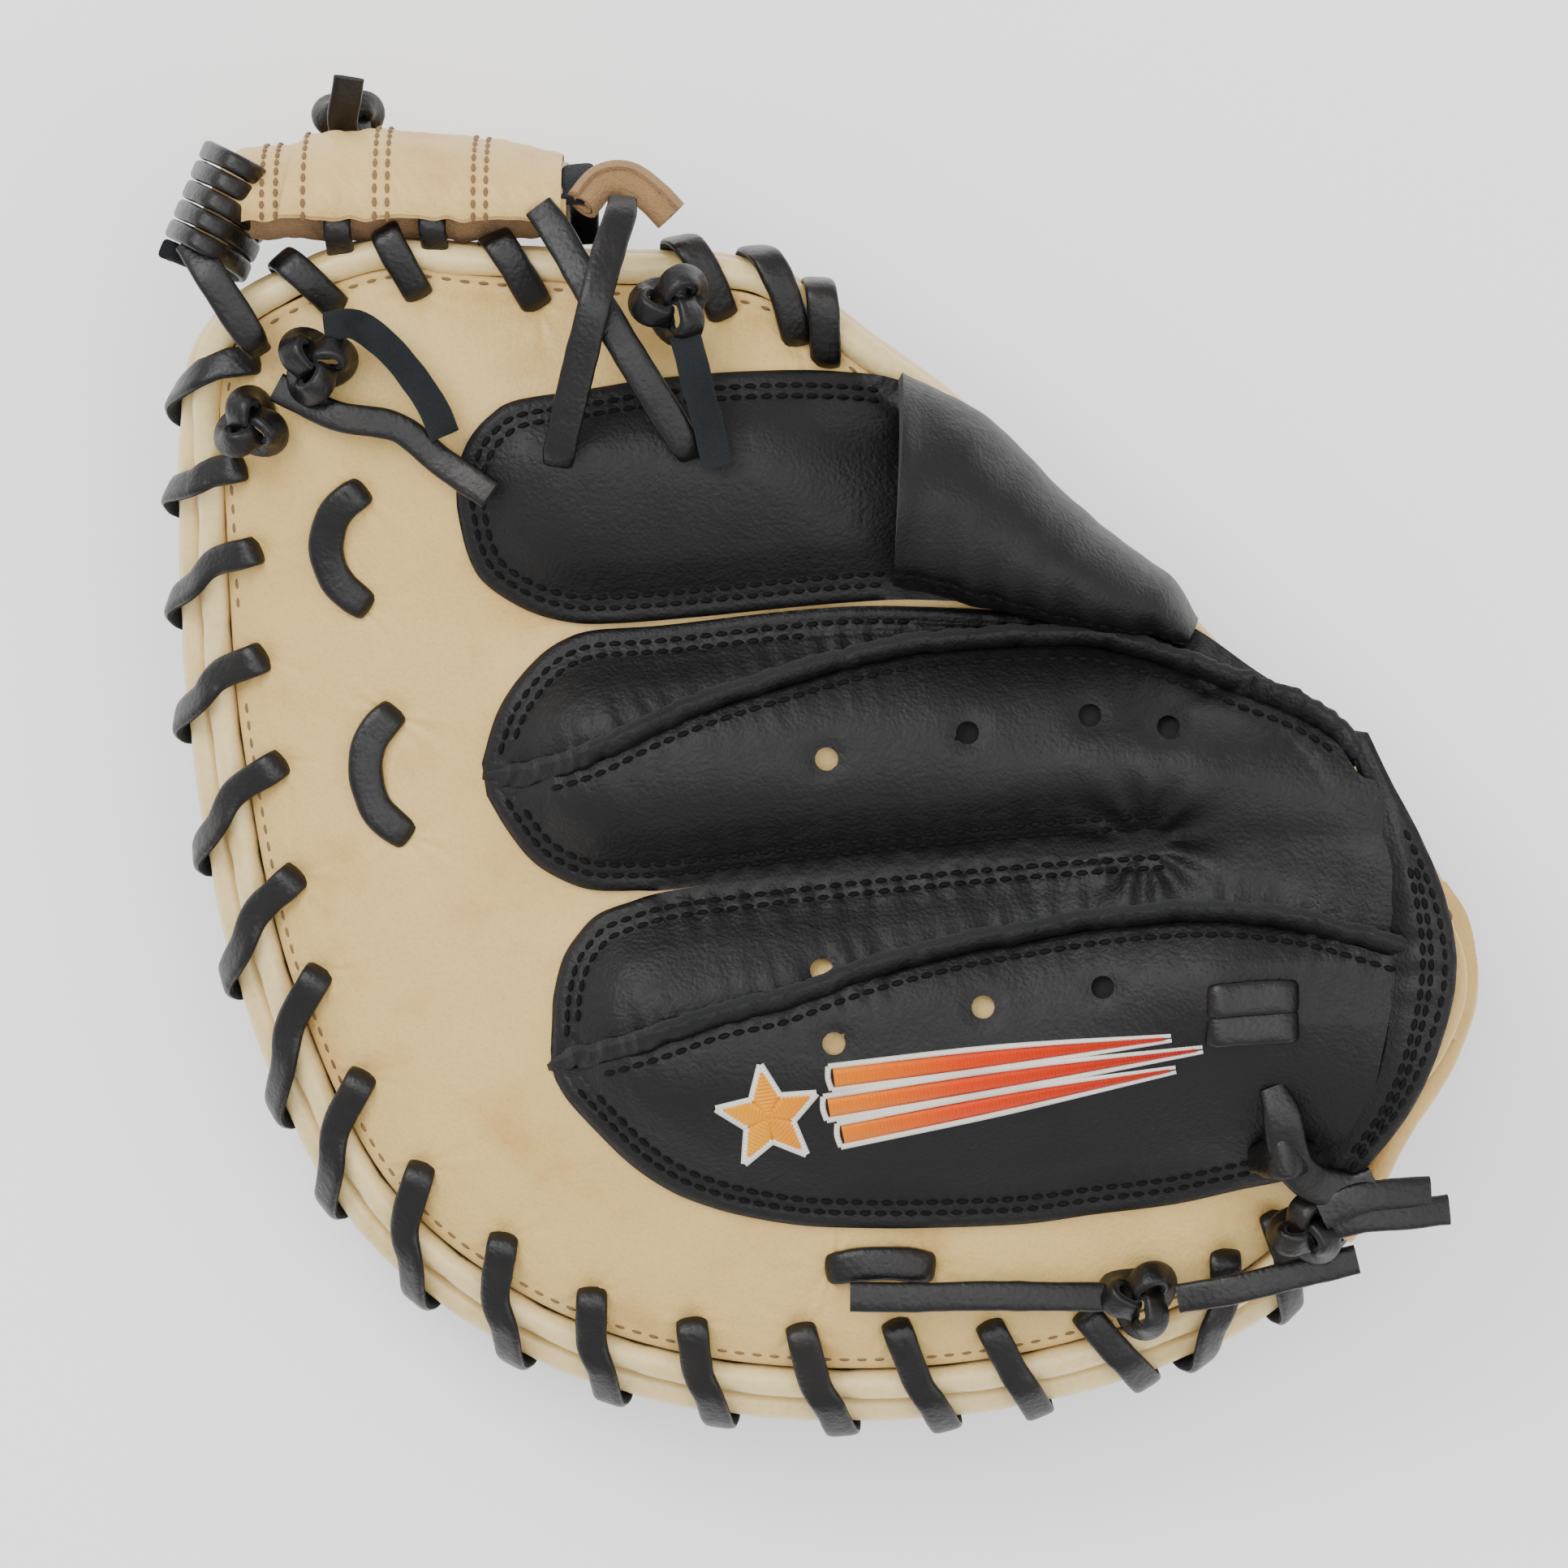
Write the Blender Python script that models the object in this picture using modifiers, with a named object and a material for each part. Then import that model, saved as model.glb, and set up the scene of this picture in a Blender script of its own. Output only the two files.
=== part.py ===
"""Baseball catcher's mitt for the left hand, lying on its palm with the back of the hand up.

The fingers point to -X, the wrist opening faces +X and the thumb side is +Y. Lengths are in
millimetres and become metres when a mesh is made. The mitt folds along the break between the
thumb stall and the finger stalls, so each leather layer that crosses it is made as two sides.
"""
import math

import bmesh
import bpy
import numpy as np
from mathutils import Vector

MM = 0.001
# Shift that puts the middle of the mitt's outer box over the origin.
SHIFT_X = 0.65
SHIFT_Y = -4.89

# Outline of the mitt at the outer side of the palm welt, counter-clockwise from the finger tips.
RIM = [
    (-133.2, 48), (-131, 8), (-121.5, -41), (-100.5, -87), (-70.5, -113.6), (-34, -128.2), (8.6, -132.4),
    (49.5, -127.7), (87, -114.4), (111, -95.6), (123, -74), (134, -56), (138, -39), (131.5, -21.5),
    (116.5, -1), (106, 13), (90, 24), (75, 39), (51, 59), (31, 79.5), (9, 95.5), (-5.5, 106),
    (-21, 110.8), (-48, 111.3), (-75, 112.6), (-93, 113.4), (-112, 107), (-125, 98.5), (-131.5, 84),
]
HUB = (-5.0, -10.0)
WRIST_FROM = math.radians(-38)
WRIST_TO = math.radians(19)

# Fold between the two sides of the mitt.
FOLD_Y = 31.0
FOLD_Z = 32.0
FOLD_HALF_NOTCH = math.tan(math.radians(12.5))
FOLD_HALF_GAP = 0.3
SPREAD = 0.36
SPREAD_BAND = 25.0

# Heights and thicknesses of the layers.
SHELL_T = 2.6
BACK_T = 2.4
PANEL_T = 1.6
PANEL_GAP = 0.35
FOLD_PANEL_GAP = 2.0
WELT_R = 3.2
PALM_WELT = (3.2, 37.0)
BACK_WELT = (8.2, 43.0)
BACK_WELT_ON_TOP = (4.4, 44.6)
HEEL_EDGE = (2.6, 36.6)
TOP_FROM = math.radians(62)
TOP_TO = math.radians(137)
EDGE_Z = 46.0
LACE_W = 6.4
LACE_T = 2.2
SEAM_HALF = 1.7
HOOD_GAP = 1.8
HEEL_PAD_X = 62.0
SEGMENTS = 40
# The exact solver empties the thin domed sheets over the hand, so they are cut by the manifold one.
THIN_SHEET_SOLVER = "MANIFOLD"

# Whip-laced stitches over the rim: hole in the back, then the point where the lace leaves the rim.
FINGER_STITCHES = [
    ((-115.4, 27.4), (-132.2, 12.8)), ((-111.7, 5.5), (-128.9, -15.3)), ((-108.4, -17.8), (-122.5, -41.2)),
    ((-103.7, -38), (-111.9, -68.5)), ((-94.6, -59.5), (-100.1, -86.9)), ((-82.5, -78.5), (-81.8, -106.2)),
    ((-65.5, -93.1), (-62.2, -118.9)), ((-47.2, -104.5), (-42.5, -127.5)), ((-26.5, -110.7), (-20, -133.2)),
    ((-3.9, -111.9), (5.7, -135.1)), ((15.8, -111), (27.4, -133.9)), ((35.3, -111.4), (46.5, -130.5)),
    ((56.1, -110.4), (69.4, -125)), ((86.4, -98.4), (78.3, -120)), ((102.3, -94.8), (97.6, -109.9)),
]
TIP_STITCHES = [
    ((-119.1, 90.9), (-132.9, 79.1)), ((-121.8, 68.2), (-134.7, 60.6)), ((-116.3, 49.4), (-133.1, 36.6)),
]
THUMB_STITCHES = [
    ((-100.6, 100.6), (-112.4, 110.2)), ((-82.3, 101.5), (-88.9, 115.2)), ((-58, 99.5), (-67, 112.7)),
    ((-19.7, 97.4), (-30.1, 114.4)), ((-4.2, 95.8), (-14.1, 110.7)), ((1.5, 89.4), (-0.7, 103.5)),
]

LEATHERS = {
    "tan": ((0.79, 0.65, 0.37), 0.55),
    "cream": ((0.86, 0.78, 0.56), 0.4),
    "black": ((0.035, 0.034, 0.037), 0.55),
    "lace": ((0.022, 0.021, 0.022), 0.5),
    "suede": ((0.42, 0.30, 0.20), 0.9),
    "felt": ((0.62, 0.60, 0.55), 0.95),
    "thread": ((0.85, 0.35, 0.05), 0.6),
    "plastic": ((0.75, 0.75, 0.72), 0.5),
}


# ---------------------------------------------------------------- scene and small helpers

def clear_scene():
    for obj in list(bpy.data.objects):
        bpy.data.objects.remove(obj, do_unlink=True)


def new_collection(name):
    collection = bpy.data.collections.new(name)
    bpy.context.scene.collection.children.link(collection)
    return collection


def leather(name, kind):
    colour, roughness = LEATHERS[kind]
    material = bpy.data.materials.new(name)
    material.use_nodes = True
    shader = material.node_tree.nodes["Principled BSDF"]
    shader.inputs["Base Color"].default_value = (*colour, 1.0)
    shader.inputs["Roughness"].default_value = roughness
    shader.inputs["Metallic"].default_value = 0.0
    return material


def placed(point):
    return Vector(((point[0] + SHIFT_X) * MM, (point[1] + SHIFT_Y) * MM, point[2] * MM))


def make_object(name, vertices, faces, kind, collection, smooth=True):
    mesh = bpy.data.meshes.new(name)
    mesh.from_pydata([placed(v) for v in vertices], [], faces)
    bm = bmesh.new()
    bm.from_mesh(mesh)
    bmesh.ops.recalc_face_normals(bm, faces=bm.faces)
    bm.to_mesh(mesh)
    bm.free()
    obj = bpy.data.objects.new(name, mesh)
    collection.objects.link(obj)
    if kind:
        mesh.materials.append(leather(name + "_leather", kind))
    if smooth:
        mesh.shade_smooth()
        mesh.set_sharp_from_angle(angle=math.radians(50))
    return obj


def as_cutter(obj):
    obj.hide_render = True
    obj.display_type = "WIRE"
    return obj


def cut(obj, cutter, operation="DIFFERENCE", solver="EXACT"):
    modifier = obj.modifiers.new("cut_" + cutter.name, "BOOLEAN")
    modifier.operation = operation
    modifier.solver = solver
    modifier.object = cutter


# ---------------------------------------------------------------- smooth curves

def spline(points, count, closed=False):
    """Evenly spaced points on a Catmull-Rom curve through the given ones."""
    p = np.array(points, dtype=float)
    if closed:
        p = np.vstack([p[-1], p, p[0], p[1]])
    else:
        p = np.vstack([2 * p[0] - p[1], p, 2 * p[-1] - p[-2]])
    dense = []
    for a, b, c, d in zip(p[:-3], p[1:-2], p[2:-1], p[3:]):
        for t in np.linspace(0, 1, 16, endpoint=False):
            dense.append(0.5 * (2 * b + (c - a) * t + (2 * a - 5 * b + 4 * c - d) * t**2
                                + (3 * b - a - 3 * c + d) * t**3))
    dense.append(p[-2])
    dense = np.array(dense)
    length = np.concatenate([[0], np.cumsum(np.linalg.norm(np.diff(dense, axis=0), axis=1))])
    at = np.linspace(0, length[-1], count, endpoint=not closed)
    return np.stack([np.interp(at, length, dense[:, k]) for k in range(dense.shape[1])], axis=1)


RIM_FINE = spline(RIM, 720, closed=True)
RIM_ANGLES = np.arctan2(RIM_FINE[:, 1] - HUB[1], RIM_FINE[:, 0] - HUB[0])
RIM_ORDER = np.argsort(RIM_ANGLES)
RIM_SORTED = RIM_ANGLES[RIM_ORDER]
RIM_RADII = np.hypot(RIM_FINE[:, 0] - HUB[0], RIM_FINE[:, 1] - HUB[1])[RIM_ORDER]


def rim_radius(angle):
    return float(np.interp(angle, RIM_SORTED, RIM_RADII, period=2 * math.pi))


def at_inset(angle, inset):
    radius = rim_radius(angle) - inset
    return (HUB[0] + radius * math.cos(angle), HUB[1] + radius * math.sin(angle))


def angle_of(x, y):
    return math.atan2(y - HUB[1], x - HUB[0])


def inset_of(x, y):
    return rim_radius(angle_of(x, y)) - math.hypot(x - HUB[0], y - HUB[1])


def smoothstep(low, high, value):
    """Rises from 0 at low to 1 at high, or falls where high is the smaller."""
    t = min(1.0, max(0.0, (value - low) / (high - low)))
    return t * t * (3 - 2 * t)


def wrist(angle):
    """1 in the middle of the wrist opening, 0 outside it."""
    if not WRIST_FROM < angle < WRIST_TO:
        return 0.0
    return math.sin(math.pi * (angle - WRIST_FROM) / (WRIST_TO - WRIST_FROM)) ** 0.8


def top_edge(angle):
    """1 along the thumb edge, where the two welts lie one over the other, 0 elsewhere."""
    return smoothstep(TOP_FROM - 0.25, TOP_FROM, angle) * smoothstep(TOP_TO + 0.25, TOP_TO, angle)


def back_welt(angle):
    """Inset and height of the back welt's centre line."""
    t = top_edge(angle)
    return tuple(a + (b - a) * t for a, b in zip(BACK_WELT, BACK_WELT_ON_TOP))


def palm_welt(angle):
    return PALM_WELT


def back_edge(angle):
    """Inset of the back's outer edge: just inside the back welt, and near the rim at the wrist."""
    return back_welt(angle)[0] + 5.3 - 8.3 * wrist(angle)


def lift(y):
    """The thumb side stands spread: it climbs away from the floor beyond the fold."""
    over = y - FOLD_Y
    if over <= -SPREAD_BAND:
        return 0.0
    if over >= SPREAD_BAND:
        return SPREAD * over
    return SPREAD * (over + SPREAD_BAND) ** 2 / (4 * SPREAD_BAND)


def ridge(x, y, start, end, width, height):
    """A rounded stall: full height along the line, falling off across it and past its tip."""
    ax, ay = start
    bx, by = end
    run = math.hypot(bx - ax, by - ay)
    along = ((x - ax) * (bx - ax) + (y - ay) * (by - ay)) / run
    across = ((x - ax) * (by - ay) - (y - ay) * (bx - ax)) / run
    tip = smoothstep(-26, 16, along)
    return height * tip * math.exp(-(abs(across) / width) ** 2.6)


def back_height(x, y):
    """Height of the tan back's outer face."""
    inset = max(0.0, inset_of(x, y))
    angle = angle_of(x, y)
    w = wrist(angle) * smoothstep(55, 6, inset)
    rise = 17.0 * (1 - math.exp(-max(0.0, inset - 11) / 20.0))
    stalls = ridge(x, y, (-58, 4), (70, 12), 21, 17)
    stalls += ridge(x, y, (-46, -52), (80, -50), 26, 15)
    stalls += ridge(x, y, (-66, 60), (60, 56), 20, 8)
    stalls += 10 * smoothstep(40, 90, x) * math.exp(-((y + 22) / 34) ** 4)
    base = EDGE_Z + rise
    return (base + min(stalls, 22)) * (1 - w) + 82.0 * w + lift(y)


# ---------------------------------------------------------------- solids

def loft_around(section, segments=SEGMENTS):
    """A closed solid whose radial section runs from its lower pole, round the rim, to its upper pole."""
    angles = [-math.pi + 2 * math.pi * (i + 0.5) / segments for i in range(segments)]
    chains = [section(angle) for angle in angles]
    rings = len(chains[0]["ring"])
    vertices = [(HUB[0], HUB[1], chains[0]["low"] + lift(HUB[1]))]
    for chain, angle in zip(chains, angles):
        for radius, z in chain["ring"]:
            x = HUB[0] + radius * math.cos(angle)
            y = HUB[1] + radius * math.sin(angle)
            vertices.append((x, y, z))
    vertices.append((HUB[0], HUB[1], chains[0]["high"] + lift(HUB[1])))
    last = len(vertices) - 1
    faces = []
    for i in range(segments):
        a = 1 + i * rings
        b = 1 + ((i + 1) % segments) * rings
        faces.append((0, a, b))
        for k in range(rings - 1):
            outward = chains[i]["ring"][k + 1][0] > chains[i]["ring"][k][0]
            if outward:
                faces += [(a + k, a + k + 1, b + k + 1), (a + k, b + k + 1, b + k)]
            else:
                faces += [(a + k, a + k + 1, b + k), (a + k + 1, b + k + 1, b + k)]
        faces.append((a + rings - 1, last, b + rings - 1))
    return vertices, faces


def profile_section(profile, low, high):
    """Section from (inset, height) pairs, listed from the centre out and back to the centre."""
    def section(angle):
        radius = rim_radius(angle)
        ring = []
        for inset, z in profile(angle):
            r = radius - inset if inset < 60 else (radius - 60) * (100 - inset) / 40
            x = HUB[0] + r * math.cos(angle)
            y = HUB[1] + r * math.sin(angle)
            height = z(x, y) if callable(z) else z + lift(y)
            ring.append((r, height))
        return {"ring": ring, "low": low, "high": high}
    return section


def strip(edge_a, edge_b, steps, rows, bottom, top):
    """A closed sheet ruled between two edge curves, between two height functions."""
    a = spline(edge_a, steps + 1)
    b = spline(edge_b, steps + 1)
    vertices = []
    for surface in (bottom, top):
        for i in range(steps + 1):
            for j in range(rows + 1):
                x, y = a[i] + (b[i] - a[i]) * j / rows
                vertices.append((x, y, surface(x, y)))
    return vertices, sheet_faces(steps, rows)


def sheet_faces(steps, rows):
    layer = (steps + 1) * (rows + 1)
    faces = []
    for i in range(steps):
        for j in range(rows):
            a = i * (rows + 1) + j
            b = a + rows + 1
            faces.append((a, a + 1, b + 1, b))
            faces.append((layer + a, layer + b, layer + b + 1, layer + a + 1))
    border = [j for j in range(rows)]
    border += [i * (rows + 1) + rows for i in range(steps)]
    border += [steps * (rows + 1) + j for j in range(rows, 0, -1)]
    border += [i * (rows + 1) for i in range(steps, 0, -1)]
    for a, b in zip(border, border[1:] + border[:1]):
        faces.append((a, b, layer + b, layer + a))
    return faces


def open_sheet(points):
    """Vertices and faces of an open grid of points."""
    rows = len(points[0])
    vertices = [p for line in points for p in line]
    faces = []
    for i in range(len(points) - 1):
        for j in range(rows - 1):
            a = i * rows + j
            faces.append((a, a + 1, a + rows + 1, a + rows))
    return vertices, faces


def sweep(path, across, width, thickness):
    """A closed flat ribbon along a path; across gives the direction of its width at each point."""
    path = np.array(path, dtype=float)
    vertices = []
    for i, p in enumerate(path):
        tangent = path[min(i + 1, len(path) - 1)] - path[max(i - 1, 0)]
        tangent /= np.linalg.norm(tangent)
        side = np.array(across[i], dtype=float)
        side -= tangent * side.dot(tangent)
        side /= np.linalg.norm(side)
        normal = np.cross(tangent, side)
        for u, v in ((-1, -1), (1, -1), (1, 1), (-1, 1)):
            vertices.append(p + side * u * width / 2 + normal * v * thickness / 2)
    faces = [(3, 2, 1, 0)]
    for i in range(len(path) - 1):
        for k in range(4):
            a = 4 * i + k
            b = 4 * i + (k + 1) % 4
            faces.append((a, b, b + 4, a + 4))
    end = 4 * (len(path) - 1)
    faces.append((end, end + 1, end + 2, end + 3))
    return [tuple(v) for v in vertices], faces


def sideways(path):
    """Width directions that keep a ribbon lying flat, seen from above."""
    path = np.array(path, dtype=float)
    result = []
    for i in range(len(path)):
        t = path[min(i + 1, len(path) - 1)] - path[max(i - 1, 0)]
        result.append((-t[1], t[0], 0.0))
    return result


def tube(name, points, radius, kind, collection, closed=False, resolution=1):
    curve = bpy.data.curves.new(name, "CURVE")
    curve.dimensions = "3D"
    curve.bevel_depth = radius * MM
    curve.bevel_resolution = resolution
    curve.use_fill_caps = not closed
    line = curve.splines.new("POLY")
    line.points.add(len(points) - 1)
    for slot, point in zip(line.points, points):
        slot.co = (*placed(point), 1.0)
    line.use_cyclic_u = closed
    line.use_smooth = True
    curve.materials.append(leather(name + "_leather", kind))
    obj = bpy.data.objects.new(name, curve)
    collection.objects.link(obj)
    return obj


def fold_cutter(name, thumb_side, collection):
    """A prism over everything beyond one face of the fold; the faces part below the fold axis."""
    sign = 1 if thumb_side else -1
    low = -20.0
    notch = (FOLD_Z - low) * FOLD_HALF_NOTCH
    near = FOLD_Y + sign * FOLD_HALF_GAP
    far = FOLD_Y - sign * 220
    outline = [(near + sign * notch, low), (near, FOLD_Z), (near, 140.0), (far, 140.0), (far, low)]
    vertices = [(x, y, z) for x in (-180, 180) for y, z in outline]
    n = len(outline)
    faces = [tuple(range(n)), tuple(range(2 * n - 1, n - 1, -1))]
    faces += [(i, (i + 1) % n, (i + 1) % n + n, i + n) for i in range(n)]
    return as_cutter(make_object(name, vertices, faces, None, collection, smooth=False))


def box_faces(start):
    quads = [(0, 1, 3, 2), (4, 6, 7, 5), (0, 4, 5, 1), (2, 3, 7, 6), (0, 2, 6, 4), (1, 5, 7, 3)]
    return [tuple(start + i for i in q) for q in quads]


def hole_cutter(name, holes, collection):
    """One object of separate slot-shaped boxes; each hole is a centre, three directions and half sizes."""
    vertices = []
    faces = []
    for centre, axes, halves in holes:
        faces += box_faces(len(vertices))
        for i in (-1, 1):
            for j in (-1, 1):
                for k in (-1, 1):
                    corner = np.array(centre, dtype=float)
                    for sign, axis, half in zip((i, j, k), axes, halves):
                        corner = corner + np.array(axis, dtype=float) * sign * half
                    vertices.append(tuple(corner))
    return as_cutter(make_object(name, vertices, faces, None, collection, smooth=False))


def lace_axes(hole, exit_point):
    """Unit directions along a stitch, across it, and up."""
    along = np.array([exit_point[0] - hole[0], exit_point[1] - hole[1], 0.0])
    along /= np.linalg.norm(along)
    return along, np.array([-along[1], along[0], 0.0]), np.array([0.0, 0.0, 1.0])


def rim_axes(x, y):
    """Unit directions out of the rim and along it."""
    angle = angle_of(x, y)
    ahead = np.array(at_inset(angle + 0.02, 0)) - np.array(at_inset(angle - 0.02, 0))
    along = np.array([ahead[0], ahead[1], 0.0]) / np.linalg.norm(ahead)
    return np.array([along[1], -along[0], 0.0]), along


def settled(stitches):
    """The stitches with each hole at least a little inside the back's edge."""
    result = []
    for hole, exit_point in stitches:
        least = back_edge(angle_of(*hole)) + 3.4
        if inset_of(*hole) < least:
            hole = at_inset(angle_of(*hole), least)
        result.append((hole, exit_point))
    return result


def back_holes(stitches):
    holes = []
    for hole, exit_point in stitches:
        along, across, up = lace_axes(hole, exit_point)
        centre = (hole[0], hole[1], back_height(*hole) - 1)
        holes.append((centre, (along, across, up), (2.2, LACE_W / 2 + 0.8, 9.0)))
    return holes


def wall_holes(stitches):
    holes = []
    for _, exit_point in stitches:
        out, along = rim_axes(*exit_point)
        x, y = at_inset(angle_of(*exit_point), 2.0)
        holes.append(((x, y, 25.0 + lift(y)), (out, along, (0, 0, 1)), (5.0, LACE_W / 2 + 1.8, 5.4)))
    return holes


# ---------------------------------------------------------------- palm side

def palm_shell_profile(angle):
    return [
        (80, 24.0), (55, 15.0), (38, 5.0), (27, 0.0), (13, 0.0), (7, 3.5), (2.5, 12.0), (0.8, 24.0),
        (1.0, 33.2), (1.0 + SHELL_T, 33.2), (0.8 + SHELL_T, 24.0), (5.0, 13.0), (9.0, 6.2), (14.0, SHELL_T),
        (26.5, SHELL_T), (36.5, 7.6), (54, 17.6), (79, 26.6),
    ]


def palm_pad_profile(angle):
    w = wrist(angle)
    return [
        (79, 27.1), (54, 18.1), (36.3, 8.2), (26.3, SHELL_T + 0.5), (14.2, SHELL_T + 0.5), (9.6, 6.8),
        (6.2, 13.4), (6.2, 19.0), (21 - 13 * w, 23 + 5 * w), (23 - 13 * w, 35.0), (30 - 6 * w, 36.0), (60, 36.0),
    ]


def lining_profile(angle):
    w = wrist(angle)
    return [(60, 36.5), (30 - 6 * w, 36.5), (30 - 6 * w, 38.3), (60, 38.3)]


def make_palm(parts, cutters, finger_fold, thumb_fold, wall_slots):
    shell = loft_around(profile_section(palm_shell_profile, 29.0, 31.6))
    pad = loft_around(profile_section(palm_pad_profile, 32.1, 36.0))
    lining = loft_around(profile_section(lining_profile, 36.5, 38.3))
    for side, fold in (("finger_side", finger_fold), ("thumb_side", thumb_fold)):
        shell_side = make_object("palm_shell_" + side, *shell, "black", parts)
        cut(shell_side, fold)
        cut(shell_side, wall_slots)
        cut(make_object("palm_lining_" + side, *lining, "tan", parts), fold)
    front = slab_cutter("heel_pad_from", -200, HEEL_PAD_X + 0.3, cutters)
    back = slab_cutter("palm_pad_to", HEEL_PAD_X - 0.3, 200, cutters)
    finger_pad = make_object("palm_pad_finger_side", *pad, "felt", parts)
    cut(finger_pad, finger_fold)
    cut(finger_pad, back)
    heel = make_object("heel_pad", *pad, "felt", parts)
    cut(heel, finger_fold)
    cut(heel, front)
    cut(make_object("palm_pad_thumb_side", *pad, "felt", parts), thumb_fold)


def slab_cutter(name, low, high, collection):
    corners = [(x, y, z) for x in (low, high) for y in (-200, 200) for z in (-30, 150)]
    return as_cutter(make_object(name, corners, box_faces(0), None, collection, smooth=False))


# ---------------------------------------------------------------- back of the hand

def back_profile(angle):
    def outer(x, y):
        return back_height(x, y)

    def inner(x, y):
        return back_height(x, y) - BACK_T

    insets = [back_edge(angle), 19, 28, 40, 56, 76]
    return [(i, inner) for i in reversed(insets)] + [(i, outer) for i in insets]


def make_back(parts, finger_fold, thumb_fold, back_slots):
    middle = back_height(*HUB)
    back = loft_around(profile_section(back_profile, middle - BACK_T, middle))
    for side, fold in (("finger_side", finger_fold), ("thumb_side", thumb_fold)):
        shell = make_object("back_shell_" + side, *back, "tan", parts)
        cut(shell, fold, solver=THIN_SHEET_SOLVER)
        cut(shell, back_slots, solver=THIN_SHEET_SOLVER)


def over_back(x, y):
    """Height of the black panels' outer face."""
    return back_height(x, y) + PANEL_GAP + PANEL_T


def skin_blank(low, high):
    """The whole back as a sheet between two heights above it, with the same facets as the back."""
    def profile(angle):
        insets = [back_edge(angle), 19, 28, 40, 56, 76]
        below = [(i, lambda x, y: back_height(x, y) + low) for i in reversed(insets)]
        return below + [(i, lambda x, y: back_height(x, y) + high) for i in insets]
    middle = back_height(*HUB)
    return loft_around(profile_section(profile, middle + low, middle + high))


def outline_prism(name, outline, collection):
    n = len(outline)
    vertices = [(x, y, z) for z in (-30.0, 160.0) for x, y in outline]
    faces = [tuple(range(n)), tuple(range(2 * n - 1, n - 1, -1))]
    faces += [(i, (i + 1) % n, (i + 1) % n + n, i + n) for i in range(n)]
    return as_cutter(make_object(name, vertices, faces, None, collection, smooth=False))


def make_panel(name, lower_edge, upper_edge, low, kind, parts, cutters, thickness=PANEL_T):
    """A leather panel: the part of a sheet over the back that lies inside an outline."""
    outline = list(spline(lower_edge, 16)) + list(spline(upper_edge, 16))[::-1]
    panel = make_object(name, *skin_blank(low, low + thickness), kind, parts)
    cut(panel, outline_prism(name + "_outline", outline, cutters), "INTERSECT", THIN_SHEET_SOLVER)


WELT_LINE_INDEX = [
    (-62.5, 2.2), (-46.4, 6.7), (-33.4, 13.8), (-20.7, 18.3), (5, 26.5), (28.7, 30.0), (50.2, 30.6),
    (70.9, 26.8), (97.3, 17.2),
]
WELT_LINE_RING = [
    (-51.6, -57), (-32.9, -51.1), (-7.2, -44), (18.5, -34.9), (42.2, -29.9), (73.2, -25.7), (96, -27.0),
    (108.5, -30.2),
]
PANEL_EDGES = {
    "thumb_back_panel": (
        [(-73.4, 57.5), (-70.5, 47.5), (-63, 39.5), (-52, 35.2), (-40, 34.4), (-20, 35.9), (0, 37.9), (13.5, 38.6)],
        [(-73.8, 62.0), (-71.5, 71), (-66, 77), (-56, 80.6), (-42, 82.8), (-20, 84.6), (0, 85.2), (13.5, 84.0)]),
    "index_back_panel": (
        [(x, y + SEAM_HALF) for x, y in WELT_LINE_INDEX[:6]],
        [(-63.5, 17.5), (-56, 28.0), (-46, 32.6), (-32, 33.8), (-7.7, 36.6), (12, 37.0), (28, 35.6)]),
    "middle_back_panel": (
        [(-66.0, -5.5), (-57, -15), (-46, -20.0), (-30, -20.2), (0, -16.9), (35, -12.8), (66, -10.4), (104, -9.5)],
        [(-65.5, -1.0)] + [(x, y - SEAM_HALF) for x, y in WELT_LINE_INDEX[1:]]),
    "ring_back_panel": (
        [(-53.2, -55.4)] + [(x, y + SEAM_HALF) for x, y in WELT_LINE_RING[1:7]] + [(108, -26.5)],
        [(-53.8, -44), (-49.6, -30), (-39, -23.6), (-30, -21.9), (0, -18.1), (35, -14), (66, -11.6), (106, -10.7)]),
    "pinky_back_panel": (
        [(-51.2, -64.5), (-46, -71.5), (-33, -81.6), (-16.8, -88), (8.9, -90.8), (42.2, -90), (73, -86.2), (95, -80)],
        [(-52.4, -59.5)] + [(x, y - SEAM_HALF) for x, y in WELT_LINE_RING[1:]]),
}


def make_panels(parts, cutters):
    for name, (lower_edge, upper_edge) in PANEL_EDGES.items():
        low = FOLD_PANEL_GAP if name == "index_back_panel" else PANEL_GAP
        make_panel(name, lower_edge, upper_edge, low, "black", parts, cutters)


def make_seam_welt(name, line, parts):
    points = spline(line, 15)
    path = [(x, y, back_height(x, y) + 5.9) for x, y in points]
    upright = [(0, 0, 1)] * len(path)
    make_object(name, *sweep(path, upright, 4.6, 1.9), "black", parts)


def make_wrist_band(parts, cutters):
    inner = [(102, 11), (107, -8), (111, -22), (113, -38), (112, -55), (108, -68), (99, -81)]
    outer = [(112, 14.0), (124, -9.5), (131.2, -23), (135.6, -39), (132.4, -55), (123.5, -72), (110.5, -91)]
    make_panel("wrist_band", inner, outer, 2 * PANEL_GAP + PANEL_T, "black", parts, cutters)


# ---------------------------------------------------------------- thumb hood

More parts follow.
